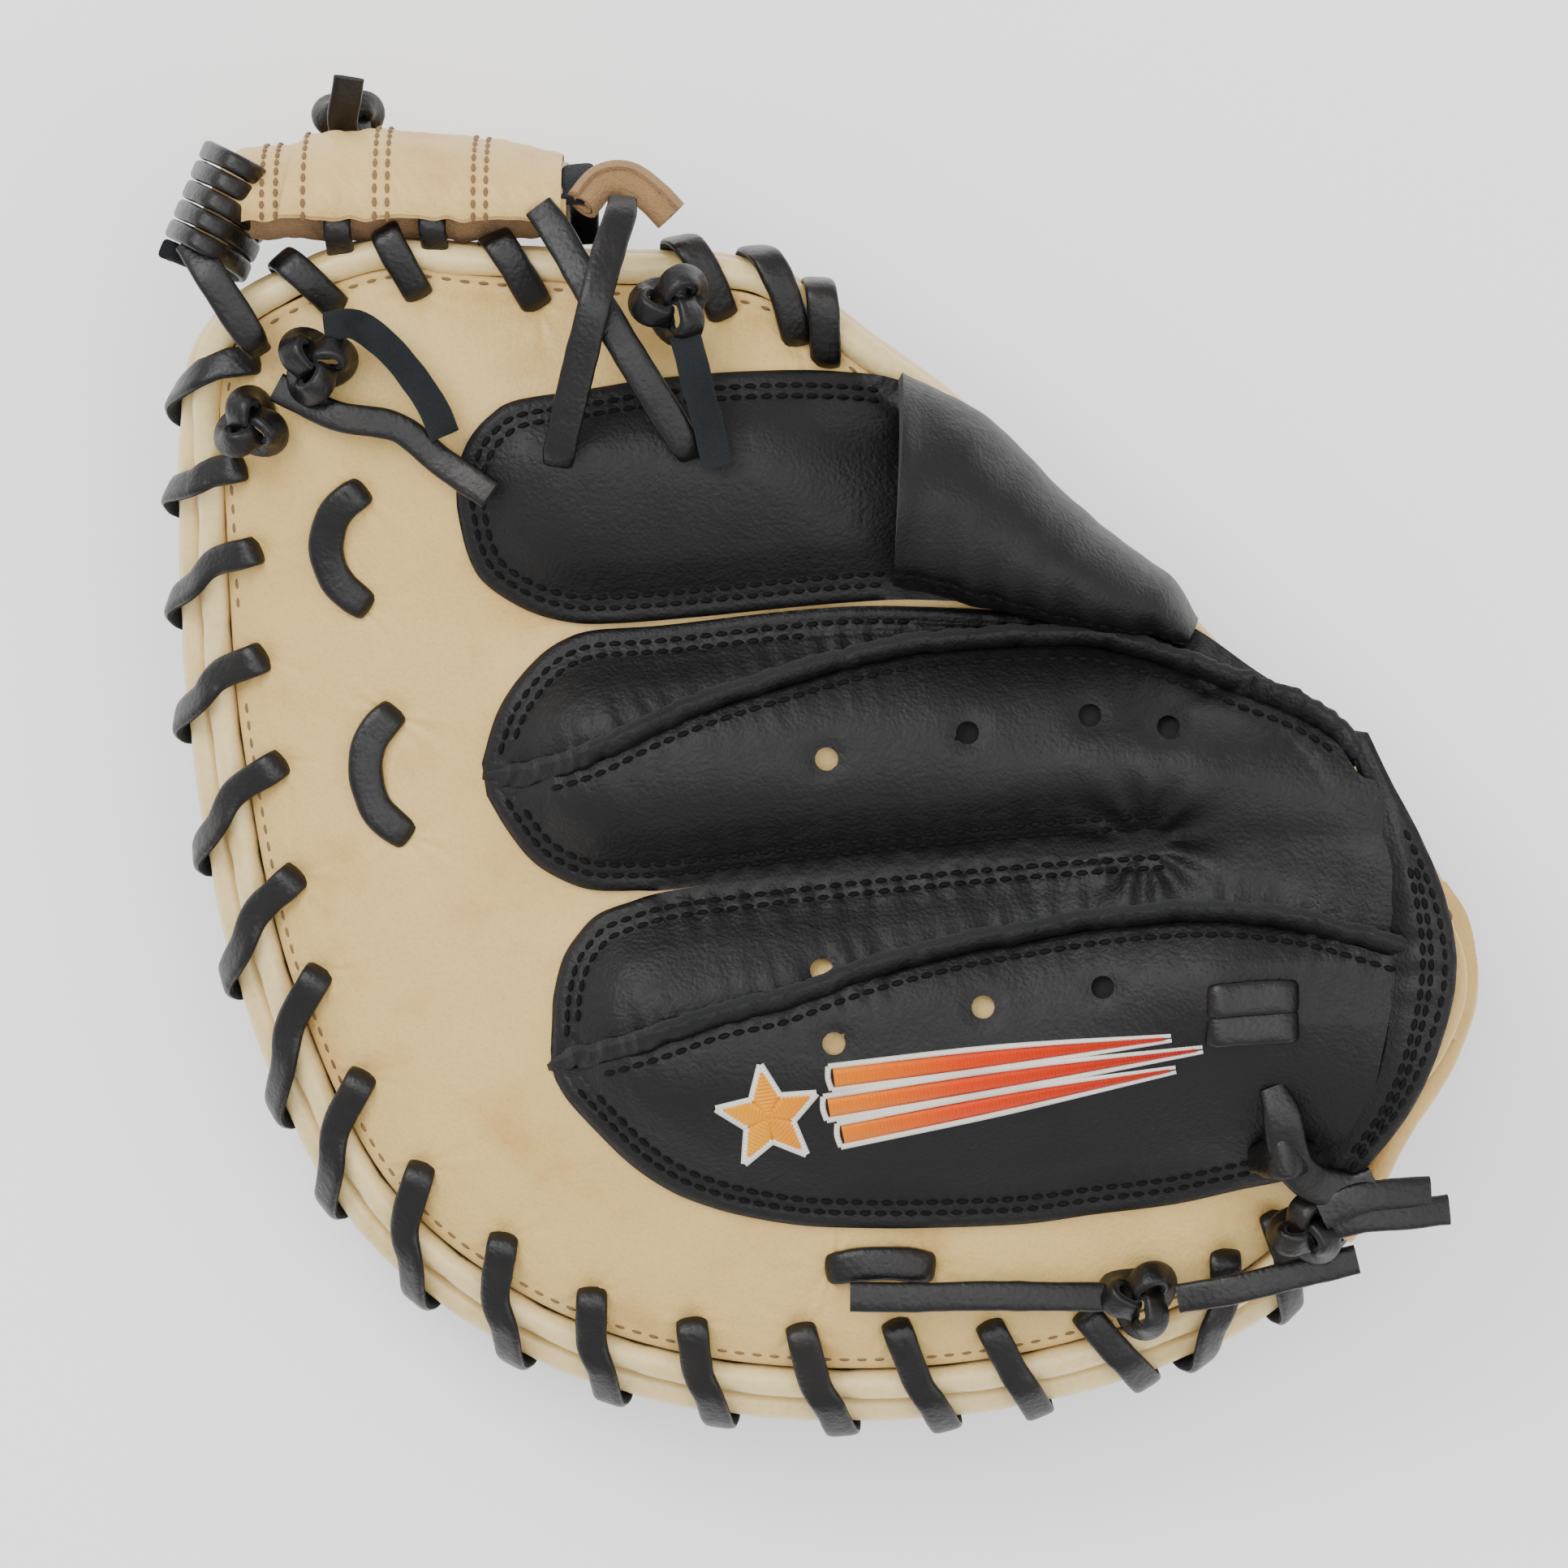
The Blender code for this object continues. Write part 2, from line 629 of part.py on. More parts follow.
def make_thumb_hood(parts):
    low = spline([(16, 43.5), (32, 38.6), (52, 33.6), (70, 32.8)], 9)
    high = spline([(18.3, 86.5), (34, 78.5), (54, 60.5), (74.5, 42.5)], 9)
    crest = [25, 25.5, 25.5, 25, 24, 22.5, 20.5, 18, 14.5]
    lines = []
    for a, b, height in zip(low, high, crest):
        line = []
        for j in range(9):
            s = j / 8
            x, y = a + (b - a) * (1 - math.cos(math.pi * s)) / 2
            foot = over_back(*a) + HOOD_GAP + (48.0 + lift(b[1]) - over_back(*a) - HOOD_GAP) * s
            line.append((x, y, foot + height * math.sin(math.pi * s) ** 0.85))
        lines.append(line)
    hood = make_object("thumb_hood", *open_sheet(lines), "black", parts)
    skin = hood.modifiers.new("leather_thickness", "SOLIDIFY")
    skin.thickness = 2.2 * MM
    skin.offset = 0.0


# ---------------------------------------------------------------- welts and laces

def rim_line(start, end, place, count):
    """Points along the rim from one angle to another, at the inset and height that place gives."""
    points = []
    for i in range(count):
        angle = start + (end - start) * i / (count - 1)
        inset, z = place(angle)
        x, y = at_inset(angle, inset)
        points.append((x, y, z + lift(y)))
    return points


def make_welts(parts):
    heel = WRIST_FROM - math.radians(1)
    finger_fold = angle_of(*at_inset(math.pi - 0.285, 0)) - 2 * math.pi
    thumb_fold = math.pi - 0.345
    thumb_heel = math.radians(23)
    runs = {
        "palm_welt_finger_side": (heel, finger_fold + 0.035, palm_welt, 34),
        "back_welt_finger_side": (heel, finger_fold + 0.035, back_welt, 34),
        "palm_welt_thumb_side": (thumb_heel, thumb_fold + 0.01, palm_welt, 24),
        "back_welt_thumb_side": (thumb_heel, thumb_fold + 0.01, back_welt, 24),
    }
    for name, (start, end, place, count) in runs.items():
        tube(name, rim_line(start, end, place, count), WELT_R, "cream", parts)
    heel_line = rim_line(WRIST_FROM + 0.03, WRIST_TO - 0.03, lambda angle: HEEL_EDGE, 15)
    tube("heel_binding", heel_line, 2.6, "tan", parts)


def stitch_path(hole, exit_point):
    """One turn of the whip lace: up through the back, over both welts, in through the palm wall."""
    angle = angle_of(*exit_point)
    top = back_height(*hole)
    lace = LACE_T / 2
    welt_inset, welt_z = back_welt(angle)
    over_welt = (np.array(at_inset(angle, welt_inset)) + np.array(at_inset(angle_of(*hole), welt_inset))) / 2
    inward = np.array(hole) + (over_welt - np.array(hole)) * 0.2

    def outward(inset, z):
        x, y = at_inset(angle, inset)
        return (x, y, z + lift(y))

    return [
        (hole[0], hole[1], top - 7.0),
        (hole[0], hole[1], top + 0.6),
        (inward[0], inward[1], top + lace + 2.2),
        (over_welt[0], over_welt[1], welt_z + WELT_R + lace + 1.9 + lift(over_welt[1])),
        outward(welt_inset - 5.9, welt_z + 3.0 + lace),
        outward(-3.0 - lace, 38.0),
        outward(-1.6 - lace, 28.0),
        outward(-1.4, 25.0),
        outward(7.5, 25.0),
    ]


def make_rim_lace(name, stitches, parts):
    path = []
    across = []
    for hole, exit_point in stitches:
        turn = stitch_path(hole, exit_point)
        _, side, _ = lace_axes(hole, exit_point)
        path += turn
        across += [side] * len(turn)
    make_object(name, *sweep(path, across, LACE_W, LACE_T), "lace", parts)


def lie_on(points, clearance, floor=over_back):
    return [(x, y, floor(x, y) + clearance) for x, y in points]


def strap(name, points, parts):
    make_object(name, *sweep(points, sideways(points), LACE_W, LACE_T), "lace", parts)


def make_web_straps(parts):
    strap("web_strap_crossed", [(-57.6, 119.0, 83), (-52, 110.5, 85.5), (-44, 97, 92.2), (-36, 84, 91.5), (-30, 74.5, 88),
                                (-26.5, 69.0, 84.8)], parts)
    strap("web_strap_straight", [(-40.5, 121.0, 88), (-42.5, 111, 92.5), (-46, 97, 96.2), (-49.8, 83, 91.5),
                                 (-52.6, 71.5, 87.0), (-53.6, 66.2, 84.6)], parts)
    strap("web_strap_tip", [(-131.5, 114.5, 79), (-126, 106.5, 82.4), (-120.2, 97.8, 80.2), (-115.4, 90.6, 77.8)], parts)


def make_bar(name, points, clearance, parts, floor=back_height):
    """A short sunk loop of lace that holds the padding: its ends turn down into the leather."""
    path = [(x, y, floor(x, y) + clearance) for x, y in spline(points, 7)]
    make_object(name, *sweep(path, sideways(path), LACE_W, LACE_T), "lace", parts)


def make_knot(name, centre, size, normal, parts, kind="lace"):
    """The round turn of a knot in a lace, as a ring about its normal."""
    major, minor = size
    bpy.ops.mesh.primitive_torus_add(major_radius=major * MM, minor_radius=minor * MM, major_segments=12,
                                     minor_segments=6, location=placed(centre))
    knot = bpy.context.object
    knot.rotation_mode = "QUATERNION"
    knot.rotation_quaternion = Vector(normal).to_track_quat("Z", "Y")
    knot.name = name
    knot.data.name = name
    knot.data.materials.append(leather(name + "_leather", kind))
    for owner in list(knot.users_collection):
        owner.objects.unlink(knot)
    parts.objects.link(knot)


KNOTS = {
    "web_knot": ((-30.1, 98.8, 90.0), (5.2, 2.6), (0.2, -0.3, 1)),
    "tip_knot_upper": ((-103.2, 86.4, 81.6), (5.2, 2.6), (0.1, 0.2, 1)),
    "tip_knot_lower": ((-116.0, 75.6, 73.0), (4.6, 2.4), (-0.1, 0.1, 1)),
    "web_top_knot": ((-98.1, 139.5, 42.0), (4.6, 2.5), (0, 1, 0.3)),
    "heel_knot": ((66.5, -105.7, 55.0), (5.2, 2.6), (0.2, -0.4, 1)),
    "wrist_knot": ((100.6, -91.1, 63.0), (4.4, 2.4), (0.3, -0.2, 1)),
}

TAILS = {
    "web_knot_tail": [(-26.5, 89.8, 93.0), (-25.2, 84, 91.5), (-22.9, 75, 89.2), (-20.8, 65.9, 86.0)],
    "tip_knot_upper_tail": [(-101, 94.5, 83.2), (-95, 94.9, 86.5), (-89, 90.8, 87.6), (-84.2, 85.5, 86.2),
                            (-79.4, 78.5, 84.6), (-76.6, 72.2, 84.8)],
    "tip_knot_lower_tail": [(-111.5, 82.5, 77.5), (-106, 79.6, 78.0), (-98.4, 76.2, 80.4), (-86.5, 74.0, 80.0),
                            (-77.5, 67.0, 80.6), (-67.4, 60.0, 83.4)],
    "heel_knot_tail_left": [(58.9, -105.4, 57.6), (48, -105.2, 60.2), (34, -105.0, 61.6), (20, -105.3, 61.9),
                            (6.4, -105.2, 61.8)],
    "heel_knot_tail_right": [(74.4, -105.8, 56.6), (86, -103.8, 58.4), (99, -100.6, 58.0), (111.5, -97.6, 57.0)],
    "wrist_knot_tail": [(107, -90.3, 64.0), (113, -87.4, 65.5), (121, -85.6, 65.8), (130, -84.6, 64.0)],
}


def make_tails(parts):
    for name, points in TAILS.items():
        line = spline(points, 3 * len(points) - 2)
        tube(name, line, 1.5, "lace", parts)


# ---------------------------------------------------------------- web

def web_section(x, s, grow=0.0):
    """Point of the web's outward-rolled leather: s runs from its raw back edge to the palm side."""
    t = (x + 131) / 80
    reach = 12.5 - 4.0 * abs(2 * t - 1) ** 2 + grow
    centre_y = 119.4 + 1.5 * math.sin(math.pi * t)
    turn = math.radians(103 - 196 * s)
    y = centre_y + reach * math.cos(turn)
    z = 52 + 27 * math.sin(turn) * (1 + grow / 27)
    return (x, y, z)


def make_web(parts):
    for name, grow, thickness, kind, s0, s1 in (("web_panel", 0.6, 2.4, "tan", 0.0, 1.0),
                                               ("web_lining", -2.6, 1.8, "suede", 0.08, 0.9)):
        lines = [[web_section(x, s0 + (s1 - s0) * j / 8, grow) for j in range(9)]
                 for x in np.linspace(-119, -55, 10)]
        sheet = make_object(name, *open_sheet(lines), kind, parts)
        skin = sheet.modifiers.new("leather_thickness", "SOLIDIFY")
        skin.thickness = thickness * MM
        skin.offset = 0.0
    roll = [(-47.5, 121.4, 81.5), (-42.4, 126.4, 76.4), (-36.5, 122.4, 78.2), (-31, 117.9, 78.0)]
    tube("web_end_roll", spline(roll, 8), 3.6, "suede", parts)
    make_web_wrap(parts)
    lace = [(-51.5, 126.5, 73), (-51.5, 127.6, 67), (-50.5, 127.0, 57), (-50, 121.5, 44), (-50, 114.5, 36)]
    strap("web_end_lace", lace, parts)
    strap("web_top_tail", [(-98.6, 136.5, 52), (-98.9, 140.0, 54), (-98.0, 143.8, 56.5), (-97.4, 147.5, 58)], parts)


def make_web_wrap(parts):
    """The lace that whips the web's tip end to the finger tips, as one coil of five turns."""
    start = np.array([-124.4, 127.2, 62.0])
    end = np.array([-133.4, 112.4, 62.0])
    turns = 5
    steps = 10
    along = (end - start) / np.linalg.norm(end - start)
    out = np.array([-along[1], along[0], 0]) * -1.0
    path = []
    across = []
    for i in range(turns * steps + 1):
        angle = 2 * math.pi * i / steps
        centre = start + (end - start) * i / (turns * steps)
        path.append(centre + out * 5.2 * math.cos(angle) + np.array([0, 0, 13.0]) * math.sin(angle))
        across.append(along)
    make_object("web_wrap_lace", *sweep(path, across, 2.9, 1.8), "lace", parts)
    rod = [tuple(start - along * 1.0), tuple((start + end) / 2), tuple(end + along * 1.0)]
    tube("web_tip_roll", [(x, y, z) for x, y, z in rod], 2.6, "tan", parts)


# ---------------------------------------------------------------- heel and wrist details

def make_heel_tab(parts):
    """Folded end of the heel leather, lying over the heel binding."""
    edge_in = [(115, -19), (119, -28), (120.5, -38), (118, -50)]
    edge_out = [(131.5, -20.8), (136.8, -30), (138.4, -39), (135.5, -50.0)]
    low = HEEL_EDGE[1] + 3.0
    make_object("heel_tab", *strip(edge_in, edge_out, 6, 2, lambda x, y: low, lambda x, y: low + 2.2),
                "tan", parts)


def make_wrist_lace(parts):
    path = lie_on([(80.5, -47.5), (86, -46.8), (92, -46.2), (97, -45.8)], 2.6)
    make_object("wrist_lace_tab", *sweep(path, sideways(path), 13.0, 2.2), "lace", parts)
    bow = lie_on([(93.4, -62.5), (95.5, -69.5), (97.5, -75.5), (101.0, -80.5)], 7.0)
    make_object("wrist_lace_loop", *sweep(bow, sideways(bow), 9.0, 3.4), "lace", parts)


def make_embroidery(parts, cutters):
    low = [(-21, -73.5), (-8, -75.5), (18, -75), (45, -70.5), (79, -66.5)]
    high = [(-21, -71.5), (-10, -66.5), (16, -61.5), (45, -57.0), (79, -54.2)]
    make_panel("embroidery", low, high, 2 * PANEL_GAP + PANEL_T, "thread", parts, cutters, 0.9)


def make_thumb_stiffener(parts, cutters):
    low = [(-52, 48), (-20, 46), (20, 45.5), (52, 43)]
    high = [(-52, 66), (-20, 68), (20, 66), (50, 55)]
    make_panel("thumb_stiffener", low, high, -BACK_T - 2.4, "plastic", parts, cutters, 1.8)


# ---------------------------------------------------------------- assembly

def main():
    clear_scene()
    parts = new_collection("catchers_mitt")
    cutters = new_collection("cutters")
    finger_fold = fold_cutter("beyond_finger_side", False, cutters)
    thumb_fold = fold_cutter("beyond_thumb_side", True, cutters)
    finger_stitches = settled(FINGER_STITCHES)
    tip_stitches = settled(TIP_STITCHES)[::-1]
    thumb_stitches = settled(THUMB_STITCHES)[::-1]
    stitches = finger_stitches + tip_stitches + thumb_stitches
    wall_slots = hole_cutter("palm_wall_slots", wall_holes(stitches), cutters)
    back_slots = hole_cutter("back_slots", back_holes(stitches), cutters)
    make_palm(parts, cutters, finger_fold, thumb_fold, wall_slots)
    make_back(parts, finger_fold, thumb_fold, back_slots)
    make_panels(parts, cutters)
    make_seam_welt("seam_welt_index", WELT_LINE_INDEX, parts)
    make_seam_welt("seam_welt_ring", WELT_LINE_RING, parts)
    make_wrist_band(parts, cutters)
    make_thumb_hood(parts)
    make_thumb_stiffener(parts, cutters)
    make_welts(parts)
    make_rim_lace("rim_lace_fingers", finger_stitches, parts)
    make_rim_lace("rim_lace_tips", tip_stitches, parts)
    make_rim_lace("rim_lace_thumb", thumb_stitches, parts)
    make_web(parts)
    make_web_straps(parts)
    make_bar("pad_loop_upper", [(-95.6, 61), (-100.4, 56), (-101.6, 49), (-99, 42), (-94.6, 38)], 3.4, parts)
    make_bar("pad_loop_middle", [(-89.2, 15.4), (-92.8, 10), (-93.6, 3.5), (-91, -4), (-85.9, -9.4)], 3.4, parts)
    make_bar("pad_loop_heel", [(3.0, -99), (9, -98.2), (16, -98.2), (22.5, -98.8)], 3.4, parts)
    for name, (centre, size, normal) in KNOTS.items():
        make_knot(name, centre, size, normal, parts)
    make_tails(parts)
    make_heel_tab(parts)
    make_wrist_lace(parts)
    make_embroidery(parts, cutters)


main()
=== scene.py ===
"""Visual model of the catcher's mitt: leather, welts, laces, stitching and embroidery."""
import math

import bmesh
import bpy
import numpy as np
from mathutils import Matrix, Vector


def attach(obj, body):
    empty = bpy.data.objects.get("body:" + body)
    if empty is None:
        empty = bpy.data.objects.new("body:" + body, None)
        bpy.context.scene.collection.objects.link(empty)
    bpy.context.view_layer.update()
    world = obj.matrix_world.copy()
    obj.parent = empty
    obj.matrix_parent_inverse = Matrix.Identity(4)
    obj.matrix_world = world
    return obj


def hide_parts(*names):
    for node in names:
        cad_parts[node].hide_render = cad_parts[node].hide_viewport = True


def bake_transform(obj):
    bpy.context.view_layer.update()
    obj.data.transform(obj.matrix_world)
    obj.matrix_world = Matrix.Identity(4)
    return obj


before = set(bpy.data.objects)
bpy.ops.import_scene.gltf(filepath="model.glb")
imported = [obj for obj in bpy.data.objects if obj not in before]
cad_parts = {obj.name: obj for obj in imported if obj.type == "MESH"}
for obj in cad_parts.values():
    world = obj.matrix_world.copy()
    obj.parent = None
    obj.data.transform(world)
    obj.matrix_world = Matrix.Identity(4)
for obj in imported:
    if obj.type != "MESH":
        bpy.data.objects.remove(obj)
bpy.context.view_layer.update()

MM = 0.001
SHIFT = np.array([0.65, -4.89, 0.0])
RNG = np.random.default_rng(7)

# ---------------------------------------------------------------- form of the frame, in millimetres

RIM = [
    (-133.2, 48), (-131, 8), (-121.5, -41), (-100.5, -87), (-70.5, -113.6), (-34, -128.2), (8.6, -132.4),
    (49.5, -127.7), (87, -114.4), (111, -95.6), (123, -74), (134, -56), (138, -39), (131.5, -21.5),
    (116.5, -1), (106, 13), (90, 24), (75, 39), (51, 59), (31, 79.5), (9, 95.5), (-5.5, 106),
    (-21, 110.8), (-48, 111.3), (-75, 112.6), (-93, 113.4), (-112, 107), (-125, 98.5), (-131.5, 84),
]
HUB = np.array([-5.0, -10.0])
WRIST_FROM = math.radians(-38)
WRIST_TO = math.radians(19)
FOLD_Y = 31.0
SPREAD = 0.36
SPREAD_BAND = 25.0
BACK_T = 2.4
PANEL_T = 1.9
WELT_R = 3.2
EDGE_Z = 46.0
LACE_W = 6.4
LACE_T = 2.2
TOP_FROM = math.radians(62)
TOP_TO = math.radians(137)
EDGE_STITCH_INSET = 2.0
WRIST_TOP = 82.0
PANEL_GAP = 0.35
PANEL_STITCH_PITCH = 3.1


def spline(points, count, closed=False):
    p = np.array(points, dtype=float)
    p = np.vstack([p[-1], p, p[0], p[1]]) if closed else np.vstack([2 * p[0] - p[1], p, 2 * p[-1] - p[-2]])
    t = np.linspace(0, 1, 24, endpoint=False)[:, None]
    dense = [0.5 * (2 * b + (c - a) * t + (2 * a - 5 * b + 4 * c - d) * t**2
                    + (3 * b - a - 3 * c + d) * t**3)
             for a, b, c, d in zip(p[:-3], p[1:-2], p[2:-1], p[3:])]
    dense = np.vstack(dense + [p[-2][None]])
    length = np.concatenate([[0], np.cumsum(np.linalg.norm(np.diff(dense, axis=0), axis=1))])
    at = np.linspace(0, length[-1], count, endpoint=not closed)
    return np.stack([np.interp(at, length, dense[:, k]) for k in range(dense.shape[1])], axis=1)


RIM_FINE = spline(RIM, 1440, closed=True)
rim_bearings = np.arctan2(RIM_FINE[:, 1] - HUB[1], RIM_FINE[:, 0] - HUB[0])
by_bearing = np.argsort(rim_bearings)
RIM_ANGLES = rim_bearings[by_bearing]
RIM_RADII = np.hypot(*(RIM_FINE - HUB).T)[by_bearing]


def rim_radius(angle):
    return np.interp(angle, RIM_ANGLES, RIM_RADII, period=2 * math.pi)


def angle_of(x, y):
    return np.arctan2(y - HUB[1], x - HUB[0])


def inset_of(x, y):
    return rim_radius(angle_of(x, y)) - np.hypot(x - HUB[0], y - HUB[1])


def at_inset(angle, inset):
    radius = rim_radius(angle) - inset
    return np.stack([HUB[0] + radius * np.cos(angle), HUB[1] + radius * np.sin(angle)], axis=-1)


def smoothstep(low, high, value):
    t = np.clip((value - low) / (high - low), 0, 1)
    return t * t * (3 - 2 * t)


def wrist(angle):
    t = np.clip((angle - WRIST_FROM) / (WRIST_TO - WRIST_FROM), 0, 1)
    return np.sin(math.pi * t) ** 0.8


def lift(y):
    over = y - FOLD_Y
    bend = SPREAD * (over + SPREAD_BAND) ** 2 / (4 * SPREAD_BAND)
    return np.where(over <= -SPREAD_BAND, 0.0, np.where(over >= SPREAD_BAND, SPREAD * over, bend))


def top_edge(angle):
    return smoothstep(TOP_FROM - 0.25, TOP_FROM, angle) * smoothstep(TOP_TO + 0.25, TOP_TO, angle)


def back_welt(angle):
    t = top_edge(angle)
    return 8.2 - 3.8 * t, 43.0 + 1.6 * t


def back_edge(angle):
    return back_welt(angle)[0] + 3.4 - 6.4 * wrist(angle)


def ridge(x, y, start, end, width, height):
    (ax, ay), (bx, by) = start, end
    run = math.hypot(bx - ax, by - ay)
    along = ((x - ax) * (bx - ax) + (y - ay) * (by - ay)) / run
    across = ((x - ax) * (by - ay) - (y - ay) * (bx - ax)) / run
    return height * smoothstep(-26, 16, along) * np.exp(-(np.abs(across) / width) ** 2.6)


def back_height(x, y):
    """Height of the tan back's outer face."""
    x = np.asarray(x, dtype=float)
    y = np.asarray(y, dtype=float)
    inset = np.maximum(0.0, inset_of(x, y))
    w = wrist(angle_of(x, y)) * smoothstep(55, 6, inset)
    rise = 17.0 * (1 - np.exp(-np.maximum(0.0, inset - 11) / 20.0))
    stalls = ridge(x, y, (-58, 4), (70, 12), 21, 17)
    stalls += ridge(x, y, (-46, -52), (80, -50), 26, 15)
    stalls += ridge(x, y, (-66, 60), (60, 56), 20, 8)
    stalls += 10 * smoothstep(40, 90, x) * np.exp(-((y + 22) / 34) ** 4)
    return (EDGE_Z + rise + np.minimum(stalls, 22)) * (1 - w) + WRIST_TOP * w + lift(y)


# ---------------------------------------------------------------- surface detail fields

FINGER_STITCHES = [
    ((-115.4, 27.4), (-132.2, 12.8)), ((-111.7, 5.5), (-128.9, -15.3)), ((-108.4, -17.8), (-122.5, -41.2)),
    ((-103.7, -38), (-111.9, -68.5)), ((-94.6, -59.5), (-100.1, -86.9)), ((-82.5, -78.5), (-81.8, -106.2)),
    ((-65.5, -93.1), (-62.2, -118.9)), ((-47.2, -104.5), (-42.5, -127.5)), ((-26.5, -110.7), (-20, -133.2)),
    ((-3.9, -111.9), (5.7, -135.1)), ((15.8, -111), (27.4, -133.9)), ((35.3, -111.4), (46.5, -130.5)),
    ((56.1, -110.4), (69.4, -125)), ((86.4, -98.4), (78.3, -120)), ((102.3, -94.8), (97.6, -109.9)),
]
TIP_STITCHES = [
    ((-119.1, 90.9), (-132.9, 79.1)), ((-121.8, 68.2), (-134.7, 60.6)), ((-116.3, 49.4), (-133.1, 36.6)),
]
THUMB_STITCHES = [
    ((-100.6, 100.6), (-112.4, 110.2)), ((-82.3, 101.5), (-88.9, 115.2)), ((-58, 99.5), (-67, 112.7)),
    ((-19.7, 97.4), (-30.1, 114.4)), ((-4.2, 95.8), (-14.1, 110.7)), ((1.5, 89.4), (-0.7, 103.5)),
]
PAD_LOOPS = {
    "pad_loop_upper": [(-94.6, 61), (-99.6, 57), (-101.8, 49.5), (-99.4, 42.5), (-94.2, 38)],
    "pad_loop_middle": [(-88.4, 15.4), (-92.6, 10.5), (-93.9, 3.5), (-91.5, -4.5), (-85.9, -9.4)],
    "pad_loop_heel": [(3.0, -99.6), (9, -98.6), (16, -98.4), (22.5, -99.2)],
}


def settled(stitches):
    result = []
    for hole, leave in stitches:
        least = float(back_edge(angle_of(*hole))) + 5.4
        if inset_of(*hole) < least:
            hole = tuple(at_inset(angle_of(*hole), least))
        result.append((hole, leave))
    return result


FINGER_STITCHES = settled(FINGER_STITCHES)
TIP_STITCHES = settled(TIP_STITCHES)
THUMB_STITCHES = settled(THUMB_STITCHES)
LACE_HOLES = [h for h, _ in FINGER_STITCHES + TIP_STITCHES + THUMB_STITCHES]


def waves(u, seed, scale, octaves=4):
    """Smooth repeatable unevenness along a coordinate, between about -1 and 1."""
    rng = np.random.default_rng(seed)
    total = np.zeros_like(np.asarray(u, dtype=float))
    for k in range(octaves):
        total += np.sin(u * 2 * math.pi / scale * (0.7 + 0.83 * k) + rng.uniform(0, 6.28)) / (1 + 0.5 * k)
    return total / 2.2


def field(x, y, seed, scale):
    """Smooth repeatable unevenness over the plane."""
    rng = np.random.default_rng(seed)
    total = np.zeros_like(np.asarray(x, dtype=float))
    for k in range(7):
        turn = rng.uniform(0, math.pi)
        total += np.sin((x * math.cos(turn) + y * math.sin(turn)) * 2 * math.pi
                        / (scale * rng.uniform(0.6, 1.7))
                        + rng.uniform(0, 6.28))
    return total / 4.0


def puckers(x, y, spot, reach, depth, spokes, seed):
    """A hole's dimple with wrinkles running out from it."""
    dx = x - spot[0]
    dy = y - spot[1]
    r = np.hypot(dx, dy)
    turn = np.arctan2(dy, dx)
    rng = np.random.default_rng(seed)
    star = np.sin(spokes * turn + rng.uniform(0, 6)) + 0.7 * np.sin((spokes + 4) * turn + rng.uniform(0, 6))
    dimple = depth * np.exp(-(r / (reach * 0.30)) ** 2)
    return 0.22 * star * np.exp(-(r / reach) ** 2) * np.clip(r / 3, 0, 1) - dimple


def tan_detail(x, y):
    z = 0.35 * field(x, y, 3, 38) + 0.10 * field(x, y, 4, 13)
    for i, hole in enumerate(LACE_HOLES):
        z += puckers(x, y, hole, 8.5, 1.7, 9, 20 + i)
    for i, line in enumerate(PAD_LOOPS.values()):
        for end in (line[0], line[-1]):
            z += puckers(x, y, end, 10.0, 1.6, 10, 60 + i)
        middle = np.array(line[len(line) // 2])
        r = np.hypot(x - middle[0], y - middle[1])
        z -= 0.9 * np.exp(-(r / 11.0) ** 2)
    return z


def nearest(x, y, line):
    """Distance to a dense polyline, and how far along it the nearest point lies."""
    flat = np.stack([np.ravel(x), np.ravel(y)], axis=1)
    step = np.concatenate([[0], np.cumsum(np.linalg.norm(np.diff(line, axis=0), axis=1))])
    best = np.full(len(flat), 1e9)
    where = np.zeros(len(flat))
    for start in range(0, len(flat), 4000):
        part = flat[start:start + 4000]
        d = np.linalg.norm(part[:, None, :] - line[None, :, :], axis=2)
        k = d.argmin(axis=1)
        best[start:start + 4000] = d[np.arange(len(part)), k]
        where[start:start + 4000] = step[k]
    return best.reshape(np.shape(x)), where.reshape(np.shape(x))


# ---------------------------------------------------------------- meshes

FINGER = "finger_side"
THUMB = "thumb_side"
FOLD = "fold"


def in_frame(points):
    return (np.asarray(points, dtype=float) + SHIFT) * MM


def piece(name, points, faces, materials, body, nodes=(), second=None, smooth=True):
    """A mesh piece on its body, standing for its frame nodes; second marks the second material's faces."""
    mesh = bpy.data.meshes.new(name)
    mesh.from_pydata(in_frame(points).tolist(), [], [tuple(int(i) for i in f) for f in faces])
    obj = bpy.data.objects.new(name, mesh)
    bpy.context.scene.collection.objects.link(obj)
    for material in materials if isinstance(materials, (list, tuple)) else [materials]:
        mesh.materials.append(material)
    if second is not None:
        mesh.polygons.foreach_set("material_index", np.asarray(second, dtype=np.int32))
    bm = bmesh.new()
    bm.from_mesh(mesh)
    bmesh.ops.recalc_face_normals(bm, faces=bm.faces)
    bm.to_mesh(mesh)
    bm.free()
    if smooth:
        mesh.shade_smooth()
        mesh.set_sharp_from_angle(angle=math.radians(60))
    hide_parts(*nodes)
    if body == FOLD:
        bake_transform(obj)
    else:
        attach(obj, body)
    return obj


